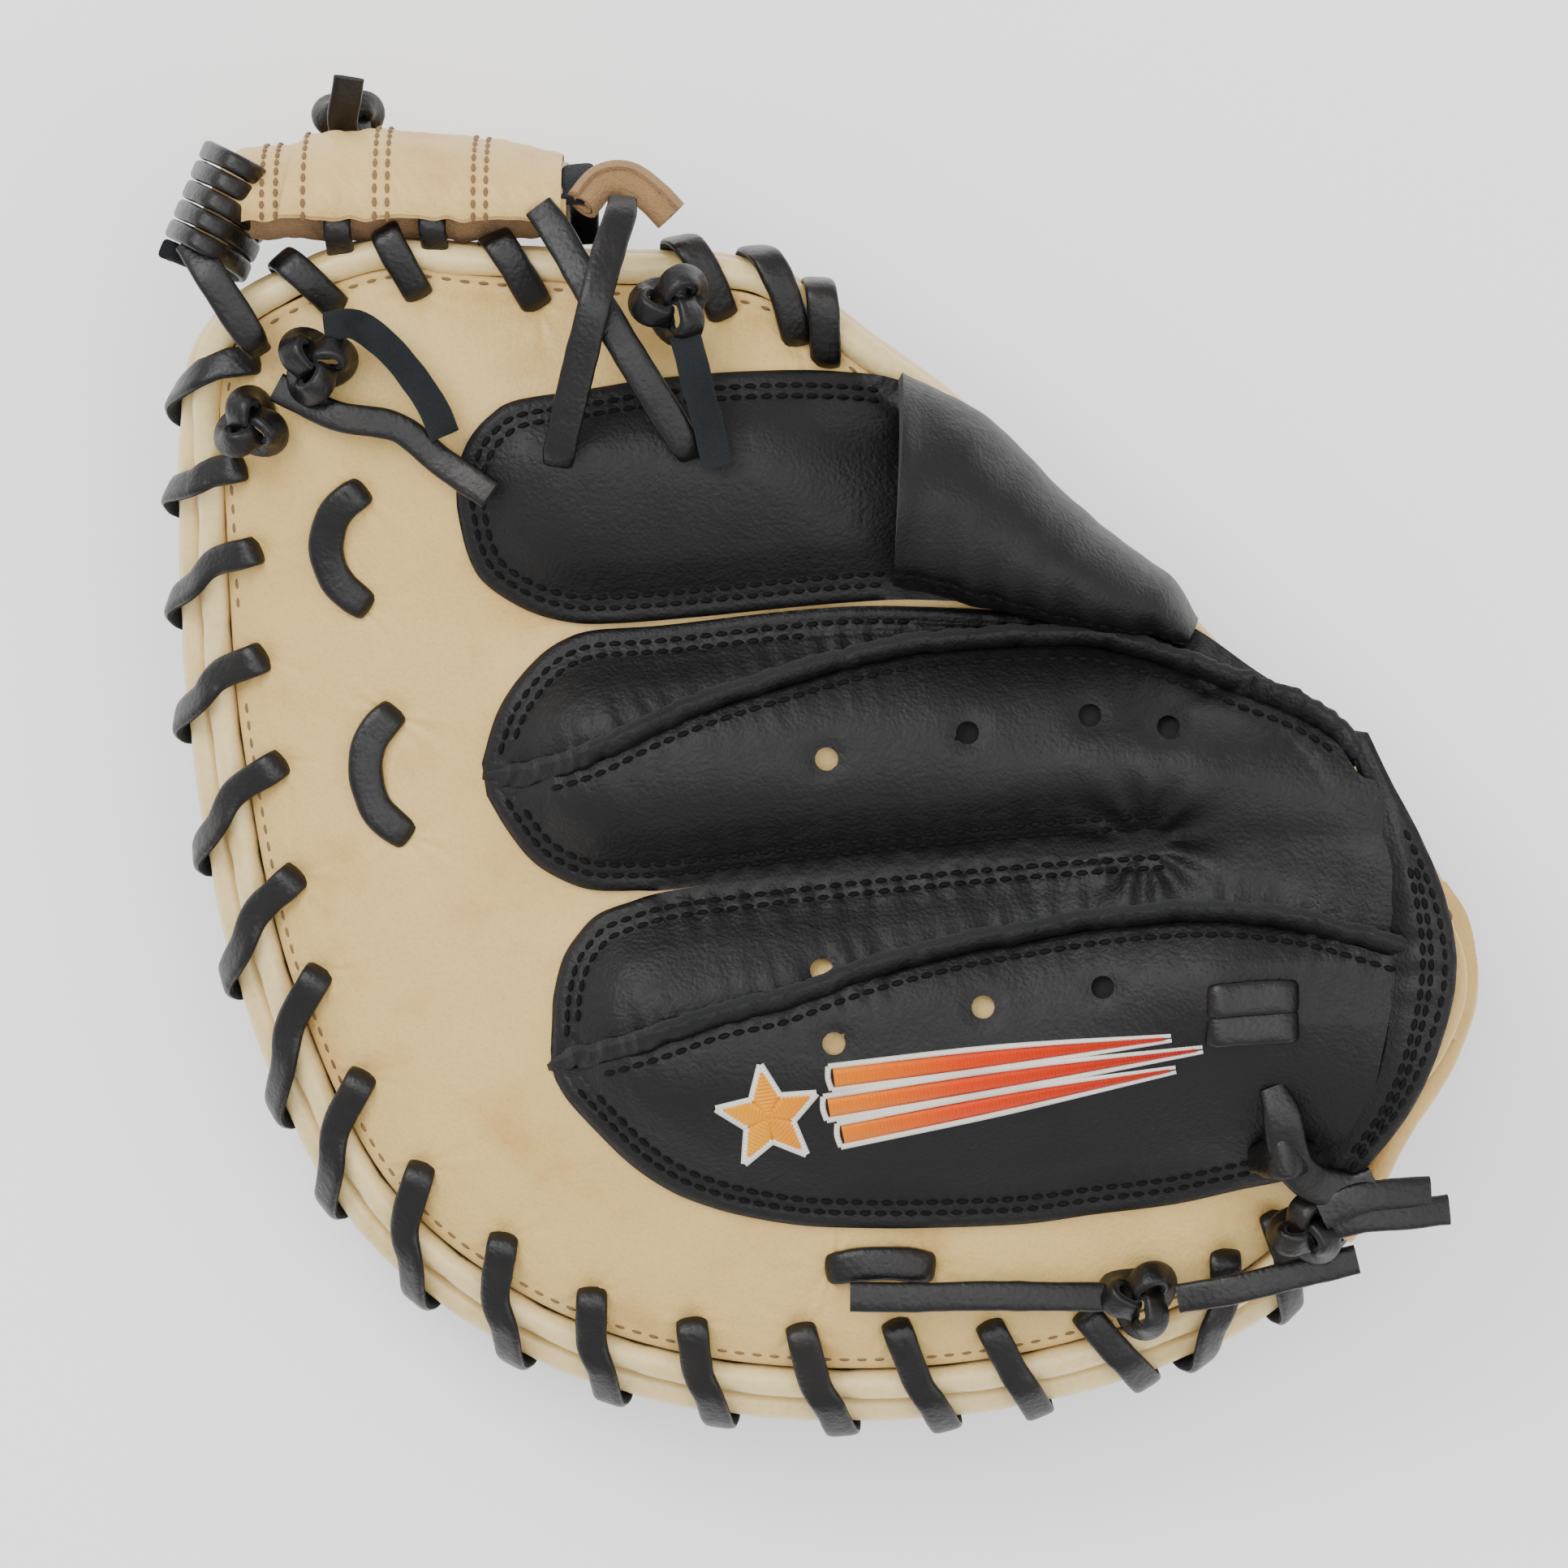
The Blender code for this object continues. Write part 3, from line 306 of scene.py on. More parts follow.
class Pile:
    """Several closed shapes gathered into one mesh."""

    def __init__(self):
        self.points = []
        self.faces = []
        self.second = []
        self.count = 0

    def add(self, points, faces, second=0):
        points = np.asarray(points, dtype=float).reshape(-1, 3)
        self.points.append(points)
        self.faces += [tuple(i + self.count for i in f) for f in faces]
        self.second += list(second) if np.ndim(second) else [second] * len(faces)
        self.count += len(points)

    def make(self, name, materials, body, nodes=()):
        several = isinstance(materials, (list, tuple))
        return piece(name, np.vstack(self.points), self.faces, materials, body, nodes,
                     self.second if several else None)


def plate(top, bottom, keep=None):
    """A closed sheet from two grids of points; keep drops grid points to leave holes."""
    n, m = top.shape[:2]
    index = np.arange(n * m).reshape(n, m)
    quads = np.stack([index[:-1, :-1], index[1:, :-1], index[1:, 1:], index[:-1, 1:]],
                     axis=-1).reshape(-1, 4)
    if keep is not None:
        quads = quads[keep.reshape(-1)[quads].all(axis=1)]
    edges = np.concatenate([quads[:, [k, (k + 1) % 4]] for k in range(4)])
    keys = np.sort(edges, axis=1) @ np.array([n * m, 1])
    _, first, counts = np.unique(keys, return_index=True, return_counts=True)
    rim = edges[first[counts == 1]]
    walls = np.stack([rim[:, 1], rim[:, 0], rim[:, 0] + n * m, rim[:, 1] + n * m], axis=1)
    faces = np.vstack([quads, quads[:, ::-1] + n * m, walls])
    points = np.vstack([top.reshape(-1, 3), bottom.reshape(-1, 3)])
    used = np.unique(faces)
    renumber = np.zeros(len(points), dtype=int)
    renumber[used] = np.arange(len(used))
    side = np.concatenate([np.zeros(len(quads)), np.zeros(len(quads)), np.ones(len(walls))]).astype(int)
    return points[used], renumber[faces].tolist(), side.tolist()


def frames(path, across):
    """Tangent, side and normal along a path."""
    tangent = np.gradient(path, axis=0)
    tangent /= np.linalg.norm(tangent, axis=1)[:, None]
    side = across - tangent * np.sum(across * tangent, axis=1)[:, None]
    side /= np.linalg.norm(side, axis=1)[:, None] + 1e-12
    return tangent, side, np.cross(tangent, side)


def swept(path, side, normal, half_width, half_thick, shape, ends=True):
    """A closed body of the given cross-section (unit pairs) carried along a path."""
    path = np.asarray(path, dtype=float)
    n = len(path)
    k = len(shape)
    hw = np.broadcast_to(half_width, n)[:, None, None]
    ht = np.broadcast_to(half_thick, n)[:, None, None]
    across = side[:, None, :] * shape[None, :, :1] * hw
    ring = path[:, None, :] + across + normal[:, None, :] * shape[None, :, 1:] * ht
    faces = [(i * k + j, i * k + (j + 1) % k, (i + 1) * k + (j + 1) % k, (i + 1) * k + j)
             for i in range(n - 1) for j in range(k)]
    if ends:
        faces += [tuple(range(k)), tuple(range((n - 1) * k, n * k))]
    return ring.reshape(-1, 3), faces


ROUND = np.array([(math.cos(a), math.sin(a)) for a in np.linspace(0, 2 * math.pi, 18, endpoint=False)])
STRAP = np.stack([np.sign(ROUND[:, 0]) * np.abs(ROUND[:, 0]) ** 0.45,
                  np.sign(ROUND[:, 1]) * np.abs(ROUND[:, 1]) ** 0.75], axis=1)


def flat_across(path):
    """Width directions that keep a ribbon lying flat, seen from above."""
    t = np.gradient(np.asarray(path, dtype=float), axis=0)
    return np.stack([-t[:, 1], t[:, 0], np.zeros(len(t))], axis=1)


def ribbon(pile, path, across=None, width=LACE_W, thick=LACE_T, seed=0, pitch=1.1, neck=(0.0, 0.0), up=True):
    """A leather lace along a path: grain side one way, suede side the other, slightly uneven."""
    rough = np.asarray(path, dtype=float)
    length = np.sum(np.linalg.norm(np.diff(rough, axis=0), axis=1))
    count = max(8, int(length / pitch))
    line = spline(rough, count)
    wide = flat_across(line) if across is None else spline(across, count)
    _, side, normal = frames(line, wide)
    s = np.linspace(0, length, count)
    hw = width / 2 * (1 + 0.035 * waves(s, seed, 17))
    start, end = neck
    hw = hw * (1 - start * np.exp(-(s / 4.5) ** 2)) * (1 - end * np.exp(-((length - s) / 4.5) ** 2))
    ht = thick / 2 * (1 + 0.06 * waves(s, seed + 1, 11))
    points, faces = swept(line, side, normal, hw, ht, STRAP)
    above = STRAP[:, 1] + np.roll(STRAP[:, 1], -1) > 0.05
    if not up:
        above = ~above
    second = [0 if above[j] else 1 for _ in range(count - 1) for j in range(len(STRAP))] + [1, 1]
    pile.add(points, faces, second)
    return line


def tube(pile, path, radius, pitch=1.3, second=0, shape=ROUND, squeeze=1.0):
    line = np.asarray(path, dtype=float)
    length = np.sum(np.linalg.norm(np.diff(line, axis=0), axis=1))
    line = spline(line, max(8, int(length / pitch)))
    _, side, normal = frames(line, np.tile([0.0, 0.0, 1.0], (len(line), 1)) + 1e-4)
    r = radius(np.linspace(0, length, len(line))) if callable(radius) else radius
    points, faces = swept(line, side, normal, r, np.multiply(r, squeeze), shape)
    pile.add(points, faces, second)
    return line


def stitches(pile, line, height, size=(2.5, 0.62, 0.42), pitch=3.3, sink=0.12):
    """Thread stitches laid end to end along a flat line: each one a small plump capsule."""
    step = np.concatenate([[0], np.cumsum(np.linalg.norm(np.diff(line, axis=0), axis=1))])
    count = int(step[-1] / pitch)
    if count < 1:
        return
    at = (np.arange(count) + 0.5) * step[-1] / count
    half_length, half_width, half_high = size[0] / 2, size[1], size[2]
    for s in at:
        ends = (s - half_length, s + half_length)
        a, b = (np.array([np.interp(end, step, line[:, k]) for k in (0, 1)]) for end in ends)
        steps = np.linspace(0, 1, 7)[:, None]
        flat = a + (b - a) * steps
        z = height(flat[:, 0], flat[:, 1]) - sink
        path = np.column_stack([flat, z])
        swell = np.sqrt(np.maximum(0.04, 1 - (2 * steps[:, 0] - 1) ** 2))
        _, side, normal = frames(path, flat_across(path))
        points, faces = swept(path, side, normal, half_width * swell, half_high * 1.5 * swell, ROUND[::3])
        pile.add(points, faces)


def inside_line(outline, inset):
    """The line a set distance inside a closed outline, in runs broken where it pinches out."""
    nexts = np.roll(outline, -2, axis=0) - np.roll(outline, 2, axis=0)
    normal = np.stack([-nexts[:, 1], nexts[:, 0]], axis=1)
    normal /= np.linalg.norm(normal, axis=1)[:, None]
    area = np.sum(outline[:, 0] * np.roll(outline[:, 1], -1) - outline[:, 1] * np.roll(outline[:, 0], -1))
    moved = outline + normal * inset * math.copysign(1, area)
    distance, _ = nearest(moved[:, 0], moved[:, 1], outline)
    good = distance > inset - 0.25
    runs = []
    run = []
    for point, ok in zip(moved, good):
        if ok:
            run.append(point)
        elif len(run) > 4:
            runs.append(np.array(run))
            run = []
        else:
            run = []
    if len(run) > 4:
        runs.append(np.array(run))
    return runs


# ---------------------------------------------------------------- materials

def linear(rgb):
    c = np.array(rgb, dtype=float) / 255
    return tuple(np.where(c <= 0.04045, c / 12.92, ((c + 0.055) / 1.055) ** 2.4)) + (1.0,)


def finish(name, rgb, roughness, grain, depth, variation=0.12, coat=0.0, sheen=0.0, fibres=0.0, stain=None,
           wear_scale=55.0, shine=0.5):
    """A procedural surface: colour drift, a pebbled or fibrous grain, and roughness that follows it."""
    material = bpy.data.materials.new(name)
    material.use_nodes = True
    tree = material.node_tree
    shader = tree.nodes["Principled BSDF"]
    link = tree.links.new
    place = tree.nodes.new("ShaderNodeTexCoord")
    drift = tree.nodes.new("ShaderNodeTexNoise")
    drift.inputs["Scale"].default_value = wear_scale
    drift.inputs["Detail"].default_value = 6.0
    link(place.outputs["Object"], drift.inputs["Vector"])
    ramp = tree.nodes.new("ShaderNodeValToRGB")
    base = np.array(linear(rgb)[:3])
    dark = base * (1 - variation * 1.8) if stain is None else np.array(linear(stain)[:3])
    ramp.color_ramp.elements[0].position = 0.30
    ramp.color_ramp.elements[0].color = (*dark, 1)
    ramp.color_ramp.elements[1].position = 0.62
    ramp.color_ramp.elements[1].color = (*(base * (1 + variation * 0.5)), 1)
    middle = ramp.color_ramp.elements.new(0.45)
    middle.color = (*base, 1)
    link(drift.outputs["Fac"], ramp.inputs["Fac"])
    pebble = tree.nodes.new("ShaderNodeTexVoronoi")
    pebble.feature = "SMOOTH_F1"
    pebble.inputs["Scale"].default_value = grain
    link(place.outputs["Object"], pebble.inputs["Vector"])
    fine = tree.nodes.new("ShaderNodeTexNoise")
    fine.inputs["Scale"].default_value = grain * 2.2
    fine.inputs["Detail"].default_value = 5.0
    link(place.outputs["Object"], fine.inputs["Vector"])
    mix = tree.nodes.new("ShaderNodeMath")
    mix.operation = "MULTIPLY_ADD"
    mix.inputs[1].default_value = 0.6 + fibres
    link(fine.outputs["Fac"], mix.inputs[0])
    link(pebble.outputs["Distance"], mix.inputs[2])
    bump = tree.nodes.new("ShaderNodeBump")
    bump.inputs["Strength"].default_value = 0.75
    bump.inputs["Distance"].default_value = depth
    link(mix.outputs[0], bump.inputs["Height"])
    creases = tree.nodes.new("ShaderNodeTexNoise")
    creases.inputs["Scale"].default_value = 210.0
    creases.inputs["Detail"].default_value = 3.0
    creases.inputs["Distortion"].default_value = 1.4
    link(place.outputs["Object"], creases.inputs["Vector"])
    soft = tree.nodes.new("ShaderNodeBump")
    soft.inputs["Strength"].default_value = 0.45
    soft.inputs["Distance"].default_value = depth * 2.2
    link(creases.outputs["Fac"], soft.inputs["Height"])
    link(bump.outputs["Normal"], soft.inputs["Normal"])
    tint = tree.nodes.new("ShaderNodeMixRGB")
    tint.blend_type = "MULTIPLY"
    tint.inputs["Fac"].default_value = 0.5
    pores = tree.nodes.new("ShaderNodeValToRGB")
    pores.color_ramp.elements[0].position = 0.05
    pores.color_ramp.elements[0].color = (0.82, 0.80, 0.78, 1)
    pores.color_ramp.elements[1].position = 0.45
    pores.color_ramp.elements[1].color = (1, 1, 1, 1)
    link(pebble.outputs["Distance"], pores.inputs["Fac"])
    link(ramp.outputs["Color"], tint.inputs["Color1"])
    link(pores.outputs["Color"], tint.inputs["Color2"])
    gloss = tree.nodes.new("ShaderNodeMapRange")
    gloss.inputs["To Min"].default_value = max(0.05, roughness - 0.09)
    gloss.inputs["To Max"].default_value = min(1.0, roughness + 0.14)
    link(creases.outputs["Fac"], gloss.inputs["Value"])
    link(tint.outputs["Color"], shader.inputs["Base Color"])
    link(gloss.outputs["Result"], shader.inputs["Roughness"])
    link(soft.outputs["Normal"], shader.inputs["Normal"])
    shader.inputs["Specular IOR Level"].default_value = shine
    shader.inputs["Coat Weight"].default_value = coat
    shader.inputs["Coat Roughness"].default_value = 0.32
    shader.inputs["Sheen Weight"].default_value = sheen
    shader.inputs["Sheen Roughness"].default_value = 0.5
    return material


TAN = finish("tan_leather", (224, 188, 116), 0.46, 1150.0, 0.00016, 0.08, coat=0.04, stain=(212, 170, 98))
TAN_INSIDE = finish("tan_lining_leather", (196, 158, 100), 0.62, 900.0, 0.0002, 0.16, stain=(160, 122, 74))
BLACK = finish("black_leather", (14, 13, 15), 0.47, 1250.0, 0.00018, 0.20, shine=0.36)
CREAM = finish("cream_welt_leather", (238, 212, 150), 0.30, 700.0, 0.00009, 0.05, coat=0.22,
               stain=(224, 192, 124))
LACE = finish("lace_grain", (13, 11, 11), 0.36, 1000.0, 0.00014, 0.25, coat=0.05, shine=0.4,
              stain=(26, 20, 17))
LACE_BACK = finish("lace_suede", (31, 35, 37), 0.90, 1500.0, 0.00045, 0.55, sheen=0.04, fibres=1.0,
                   shine=0.2)
SUEDE = finish("suede_edge", (164, 126, 82), 0.95, 1300.0, 0.0007, 0.36, sheen=0.12, fibres=1.6,
               stain=(118, 84, 56))
CUT_EDGE = finish("black_cut_edge", (24, 27, 28), 0.95, 1700.0, 0.00040, 0.35, sheen=0.08, fibres=1.2)
FELT = finish("wool_felt", (214, 206, 188), 0.97, 900.0, 0.0006, 0.18, sheen=0.4, fibres=1.5)
PLASTIC = finish("stiffener_plastic", (24, 24, 26), 0.5, 600.0, 0.00005, 0.08)
# near-black paint standing in for the shade seen through the vent holes nearest the wrist
VENT_SHADE_PAINT = finish("painted_vent_shade", (12, 12, 13), 0.9, 900.0, 0.0003, 0.2)
BLACK_THREAD = finish("black_thread", (9, 9, 10), 0.75, 2600.0, 0.00012, 0.2, shine=0.2)
TAN_THREAD = finish("tan_thread", (128, 98, 62), 0.7, 2600.0, 0.00012, 0.2)
WHITE_THREAD = finish("white_thread", (236, 232, 222), 0.42, 2600.0, 0.00010, 0.08, sheen=0.2)


def graded_thread():
    """Embroidery thread that turns from yellow through orange to red along the motif."""
    material = finish("graded_thread", (235, 140, 40), 0.4, 2600.0, 0.0001, 0.08, shine=0.35)
    tree = material.node_tree
    place = tree.nodes.new("ShaderNodeTexCoord")
    split = tree.nodes.new("ShaderNodeSeparateXYZ")
    tree.links.new(place.outputs["Object"], split.inputs["Vector"])
    along = tree.nodes.new("ShaderNodeMapRange")
    along.inputs["From Min"].default_value = (-20 + SHIFT[0]) * MM
    along.inputs["From Max"].default_value = (78 + SHIFT[0]) * MM
    tree.links.new(split.outputs["X"], along.inputs["Value"])
    ramp = tree.nodes.new("ShaderNodeValToRGB")
    ramp.color_ramp.elements[0].color = linear((240, 168, 0))
    ramp.color_ramp.elements[1].color = linear((168, 0, 4))
    ramp.color_ramp.elements.new(0.5).color = linear((224, 64, 0))
    tree.links.new(along.outputs["Result"], ramp.inputs["Fac"])
    tint = next(n for n in tree.nodes if n.bl_idname == "ShaderNodeMixRGB")
    tree.links.new(ramp.outputs["Color"], tint.inputs["Color1"])
    return material


GRADED_THREAD = graded_thread()


# ---------------------------------------------------------------- palm side

PALM_SHELL = [
    (80, 24.0), (55, 15.0), (38, 5.0), (27, 0.3), (13, 0.3), (7, 3.5), (2.5, 12.0), (0.8, 24.0),
    (1.0, 33.2), (3.6, 33.2), (3.4, 24.0), (5.0, 13.0), (9.0, 6.2), (14.0, 2.6),
    (26.5, 2.6), (36.5, 7.6), (54, 17.6), (79, 26.6),
]
TURNS = 720


def rim_distance(angle, spots):
    """Distance along the rim from each angle to the nearest of the spots."""
    arms = np.array([angle_of(*p) for p in spots])
    off = (angle[:, None] - arms[None, :] + math.pi) % (2 * math.pi) - math.pi
    return np.abs(off).min(axis=1) * rim_radius(angle)


LACE_EXITS = [e for _, e in FINGER_STITCHES + TIP_STITCHES + THUMB_STITCHES]


def loft(name, profile, poles, count, material, body, nodes, relief=None, turns=TURNS):
    """A closed body of revolution round the hub whose sections follow the rim."""
    angle = np.linspace(-math.pi, math.pi, turns, endpoint=False)
    rings = []
    for inset, z in spline(profile, count):
        rings.append((np.full(turns, inset), np.full(turns, z)))
    radius = rim_radius(angle)
    stack = []
    for inset, z in rings:
        r = np.where(inset < 60, radius - inset, (radius - 60) * (100 - inset) / 40)
        x = HUB[0] + r * np.cos(angle)
        y = HUB[1] + r * np.sin(angle)
        stack.append(np.stack([x, y, z + lift(y)], axis=1))
    if relief is not None:
        stack = relief(angle, rings, stack)
    return revolve(name, stack, poles, material, body, nodes)


def revolve(name, stack, poles, material, body, nodes):
    turns = len(stack[0])
    points = np.vstack(stack + [np.array([[HUB[0], HUB[1], p + lift(HUB[1])] for p in poles])])
    rings = len(stack)
    i = np.arange(turns)
    j = (i + 1) % turns
    faces = []
    for k in range(rings - 1):
        faces += np.stack([k * turns + i, k * turns + j, (k + 1) * turns + j, (k + 1) * turns + i],
                          axis=1).tolist()
    low = rings * turns
    faces += np.stack([np.full(turns, low), j, i], axis=1).tolist()
    last = (rings - 1) * turns
    faces += np.stack([np.full(turns, low + 1), last + i, last + j], axis=1).tolist()
    return piece(name, points, faces, material, body, nodes)


def palm_relief(angle, rings, stack):
    """The wall is drawn in at each lace and pads out between them; the pocket is creased by use."""
    pinch = np.exp(-(rim_distance(angle, LACE_EXITS) / 5.0) ** 2)
    for k, (inset, z) in enumerate(rings):
        wall = np.exp(-((z[0] - 24) / 9.0) ** 2) * (inset[0] < 4)
        push = 1.1 * wall * (0.35 - pinch) + 0.35 * wall * waves(angle * 120, 5, 31)
        stack[k][:, 0] += push * np.cos(angle)
        stack[k][:, 1] += push * np.sin(angle)
        if inset[0] > 30 and k < len(rings) // 2:
            stack[k][:, 2] += 0.5 * field(stack[k][:, 0], stack[k][:, 1], 9, 26)
    return stack


def make_palm():
    loft("palm_shell", PALM_SHELL, (24.0, 26.6), 64, BLACK, FOLD,
         ("palm_shell_finger_side", "palm_shell_thumb_side"), palm_relief)
    angle = np.linspace(-math.pi, math.pi, 360, endpoint=False)
    w = wrist(angle)
    pad = [(79, 27.1), (54, 18.1), (36.3, 8.2), (26.3, 3.1), (14.2, 3.1), (9.6, 6.8), (6.2, 13.4),
           (6.2, 19.0),
           (21 - 13 * w, 23 + 5 * w), (23 - 13 * w, 35.0), (30 - 6 * w, 36.0), (60, 36.0)]
    padding = revolve("hand_padding", walled(pad, angle), (27.1, 36.0), FELT, FOLD,
                      ("palm_pad_finger_side", "palm_pad_thumb_side", "heel_pad"))
    lining = [(60, 36.5), (45 - 3 * w, 36.5), (30 - 23.4 * w, 36.5), (29.0 - 23.4 * w, 37.4),
              (30 - 23.4 * w, 38.3), (45 - 3 * w, 38.6), (60, 38.3)]
    revolve("palm_lining", walled(lining, angle), (36.5, 38.3), TAN_INSIDE, FOLD,
            ("palm_lining_finger_side", "palm_lining_thumb_side"))


def walled(profile, angle):
    """Rings of a section whose insets and heights may change round the rim."""
    radius = rim_radius(angle)
    rings = []
    table = np.array([np.broadcast_to(inset, angle.shape) for inset, _ in profile])
    highs = np.array([np.broadcast_to(z, angle.shape) for _, z in profile])
    at = np.linspace(0, len(profile) - 1, 3 * (len(profile) - 1) + 1)
    for a in at:
        k = min(int(a), len(profile) - 2)
        f = a - k
        inset = table[k] * (1 - f) + table[k + 1] * f
        z = highs[k] * (1 - f) + highs[k + 1] * f
        r = np.where(inset < 60, radius - inset, (radius - 60) * (100 - inset) / 40)
        x = HUB[0] + r * np.cos(angle)
        y = HUB[1] + r * np.sin(angle)
        rings.append(np.stack([x, y, z + lift(y) + 0.3 * field(x, y, 12, 30)], axis=1))
    return rings


# ---------------------------------------------------------------- back of the hand

def tan_height(x, y):
    return back_height(x, y) + tan_detail(x, y)


def make_back():
    """The tan back: one sheet from the inside, round its cut edge, over the outside."""
    angle = np.linspace(-math.pi, math.pi, 1080, endpoint=False)
    edge = back_edge(angle)
    radius = rim_radius(angle)
    stack = []

    def ring(inset, drop, outside):
        r = np.maximum(radius - inset, 0.0)
        x = HUB[0] + r * np.cos(angle)
        y = HUB[1] + r * np.sin(angle)
        z = (tan_height(x, y) if outside else back_height(x, y)) - drop
        return np.stack([x, y, z], axis=1)

    share = np.linspace(0.04, 1, 16)
    for s in share:
        stack.append(ring(radius - s * (radius - edge - 0.4), BACK_T, False))
    for turn in np.linspace(-70, 70, 5):
        t = math.radians(turn)
        stack.append(ring(edge + 0.9 - 0.9 * math.cos(t), BACK_T / 2 * (1 - math.sin(t)), True))
    for s in 1 - np.linspace(0.01, 0.985, 96) ** 1.12:
        stack.append(ring(radius - s * (radius - edge - 0.9), 0.0, True))
    high = float(tan_height(np.array([HUB[0]]), np.array([HUB[1]]))[0])
    middle = float(back_height(*HUB)) - BACK_T
    revolve("back_shell", stack, (middle, high), TAN, FOLD,
            ("back_shell_finger_side", "back_shell_thumb_side"))
    pile = Pile()
    for start, end in ((23, 158), (166, 314)):
        turn = np.radians(np.linspace(start, end, 700))
        turn = (turn + math.pi) % (2 * math.pi) - math.pi
        line = at_inset(turn, back_edge(turn) + EDGE_STITCH_INSET)
        away = np.min([np.hypot(*(line - np.array(h)).T) for h in LACE_HOLES], axis=0)
        for run in np.split(line, np.where(away < 4.0)[0]):
            if len(run) > 12:
                stitches(pile, run, tan_height, size=(2.3, 0.42, 0.3), pitch=3.6)
    pile.make("back_edge_stitches", TAN_THREAD, FOLD)


# ---------------------------------------------------------------- black back panels

SEAM_INDEX = [
    (-62.5, 2.2), (-46.4, 6.9), (-33.4, 13.2), (-20.7, 18.3), (-7.7, 22.4), (5, 26.2), (18, 29.0),
    (28.7, 30.2),
    (50.2, 31.2), (59, 30.4), (70.9, 27.2), (82.7, 22.8), (97.3, 17.0), (106, 11.4), (110.6, 5.0),
]
SEAM_RING = [
    (-51.6, -57), (-45.7, -54.9), (-32.9, -51.1), (-20, -46.5), (-7.2, -43.6), (5.7, -38.8), (18.5, -34.9),
    (31.4, -31.8), (42.2, -29.9), (56.8, -27.4), (73.2, -25.8), (86.2, -25.8), (99.3, -27.6), (109.2, -30.2),
    (119, -33.2), (126.5, -35.4),
]
SEAM_HALF = 1.9
HOLE_R = 2.4
VENTS = {
    "index_back_panel": [],
    "middle_back_panel": [(1.5, 6.0), (30.4, 11.4), (55.6, 15.0), (71.7, 12.6)],
    "ring_back_panel": [(0.5, -37.3)],
    "pinky_back_panel": [(3.0, -52.4), (33.6, -44.9), (58.1, -40.8)],
}
PANEL_EDGES = {
    "thumb_back_panel": (
        [(-74.6, 60.5), (-74.3, 56.6), (-72.4, 48.2), (-68.9, 42.2), (-60.5, 36.8), (-51.4, 34.2),
         (-41.8, 34.0),
         (-25, 35.3), (-9.4, 36.9), (5, 38.2), (17, 38.9), (30, 38.6)],
        [(-74.5, 61.5), (-74.3, 65.5), (-71.9, 71.6), (-67.7, 76.4), (-62.2, 79.6), (-48.4, 81.8),
         (-33.4, 84.2),
         (-15.5, 85.7), (3.7, 86), (17, 84), (30, 76.5)]),
    "index_back_panel": (
        [(-69.3, 3.2), (-66.0, 3.0)] + [(x, y + SEAM_HALF) for x, y in SEAM_INDEX],
        [(-69.6, 5.2), (-66.9, 14.4), (-63.4, 20.8), (-58, 27.0), (-52.8, 30.6), (-46.4, 32.6),
         (-32.3, 33.6), (-7.7, 36.4), (9.6, 37.6),
         (28.7, 37.2), (47.2, 36.4), (62, 37.0), (76, 34.0), (90, 24.5), (103, 15.5), (111.5, 8.5)]),
    "middle_back_panel": (
        [(-68.6, -1.5), (-64.3, -8.7), (-59.1, -15.1), (-52.8, -19), (-46.4, -21.0), (-36.8, -21.1),
         (-30.9, -20.9),
         (-7.7, -18.1), (28.7, -14.2), (64.8, -11.3), (90, -10.2), (119, -9.5)],
        [(-69.2, 2.4), (-66, 2.3), (-62.0, 1.6)]
        + [(x, y - SEAM_HALF) for x, y in SEAM_INDEX[1:]] + [(114, 1.5)]),
    "ring_back_panel": (
        [(-55.3, -56.6), (-52.4, -55.4)] + [(x, y + SEAM_HALF) for x, y in SEAM_RING[1:-1]],
        [(-55.4, -54.0), (-55.1, -48.0), (-54.8, -42.7), (-52.9, -35.1), (-49.6, -29.9), (-45.7, -26),
         (-39.3, -23.5), (-30.9, -21.2), (-7.7, -18.1),
         (28.7, -14.2), (64.8, -11.3), (90, -10.2), (119, -9.5)]),
    "pinky_back_panel": (
        [(-54.9, -58.6), (-54.2, -60.6), (-51.6, -64.7), (-45.7, -71.1), (-39.3, -77.4), (-32.9, -82),
         (-26.5, -85.2), (-16.8, -88.2),
         (-4, -90.4), (8.9, -91.0), (21.7, -91.0), (42.2, -90.2), (56.8, -88.2), (73.2, -86.2),
         (86.2, -83.4),
         (99, -80.6), (111, -77.0)],
        [(-55.1, -57.4), (-52.0, -57.8)] + [(x, y - SEAM_HALF) for x, y in SEAM_RING[1:-1]]),
}
PANEL_ENDS = {"thumb_back_panel": 12.0, "index_back_panel": 58.0, "middle_back_panel": 104.0,
              "ring_back_panel": 104.0, "pinky_back_panel": 101.0}
VALLEY_END = 69.0
VALLEY_POINTS = [(-30.9, -21.2), (-7.7, -18.1), (28.7, -14.2), (64.8, -11.3), (90, -10.2), (119, -9.5)]
VALLEY_SEAM = spline(VALLEY_POINTS, 300)
SEAM_OVER = {"middle_back_panel": SEAM_INDEX, "pinky_back_panel": SEAM_RING}
SEAM_STITCH_GAP = 2.5
WELT_LINES = [spline(SEAM_INDEX, 320), spline(SEAM_RING, 320)]


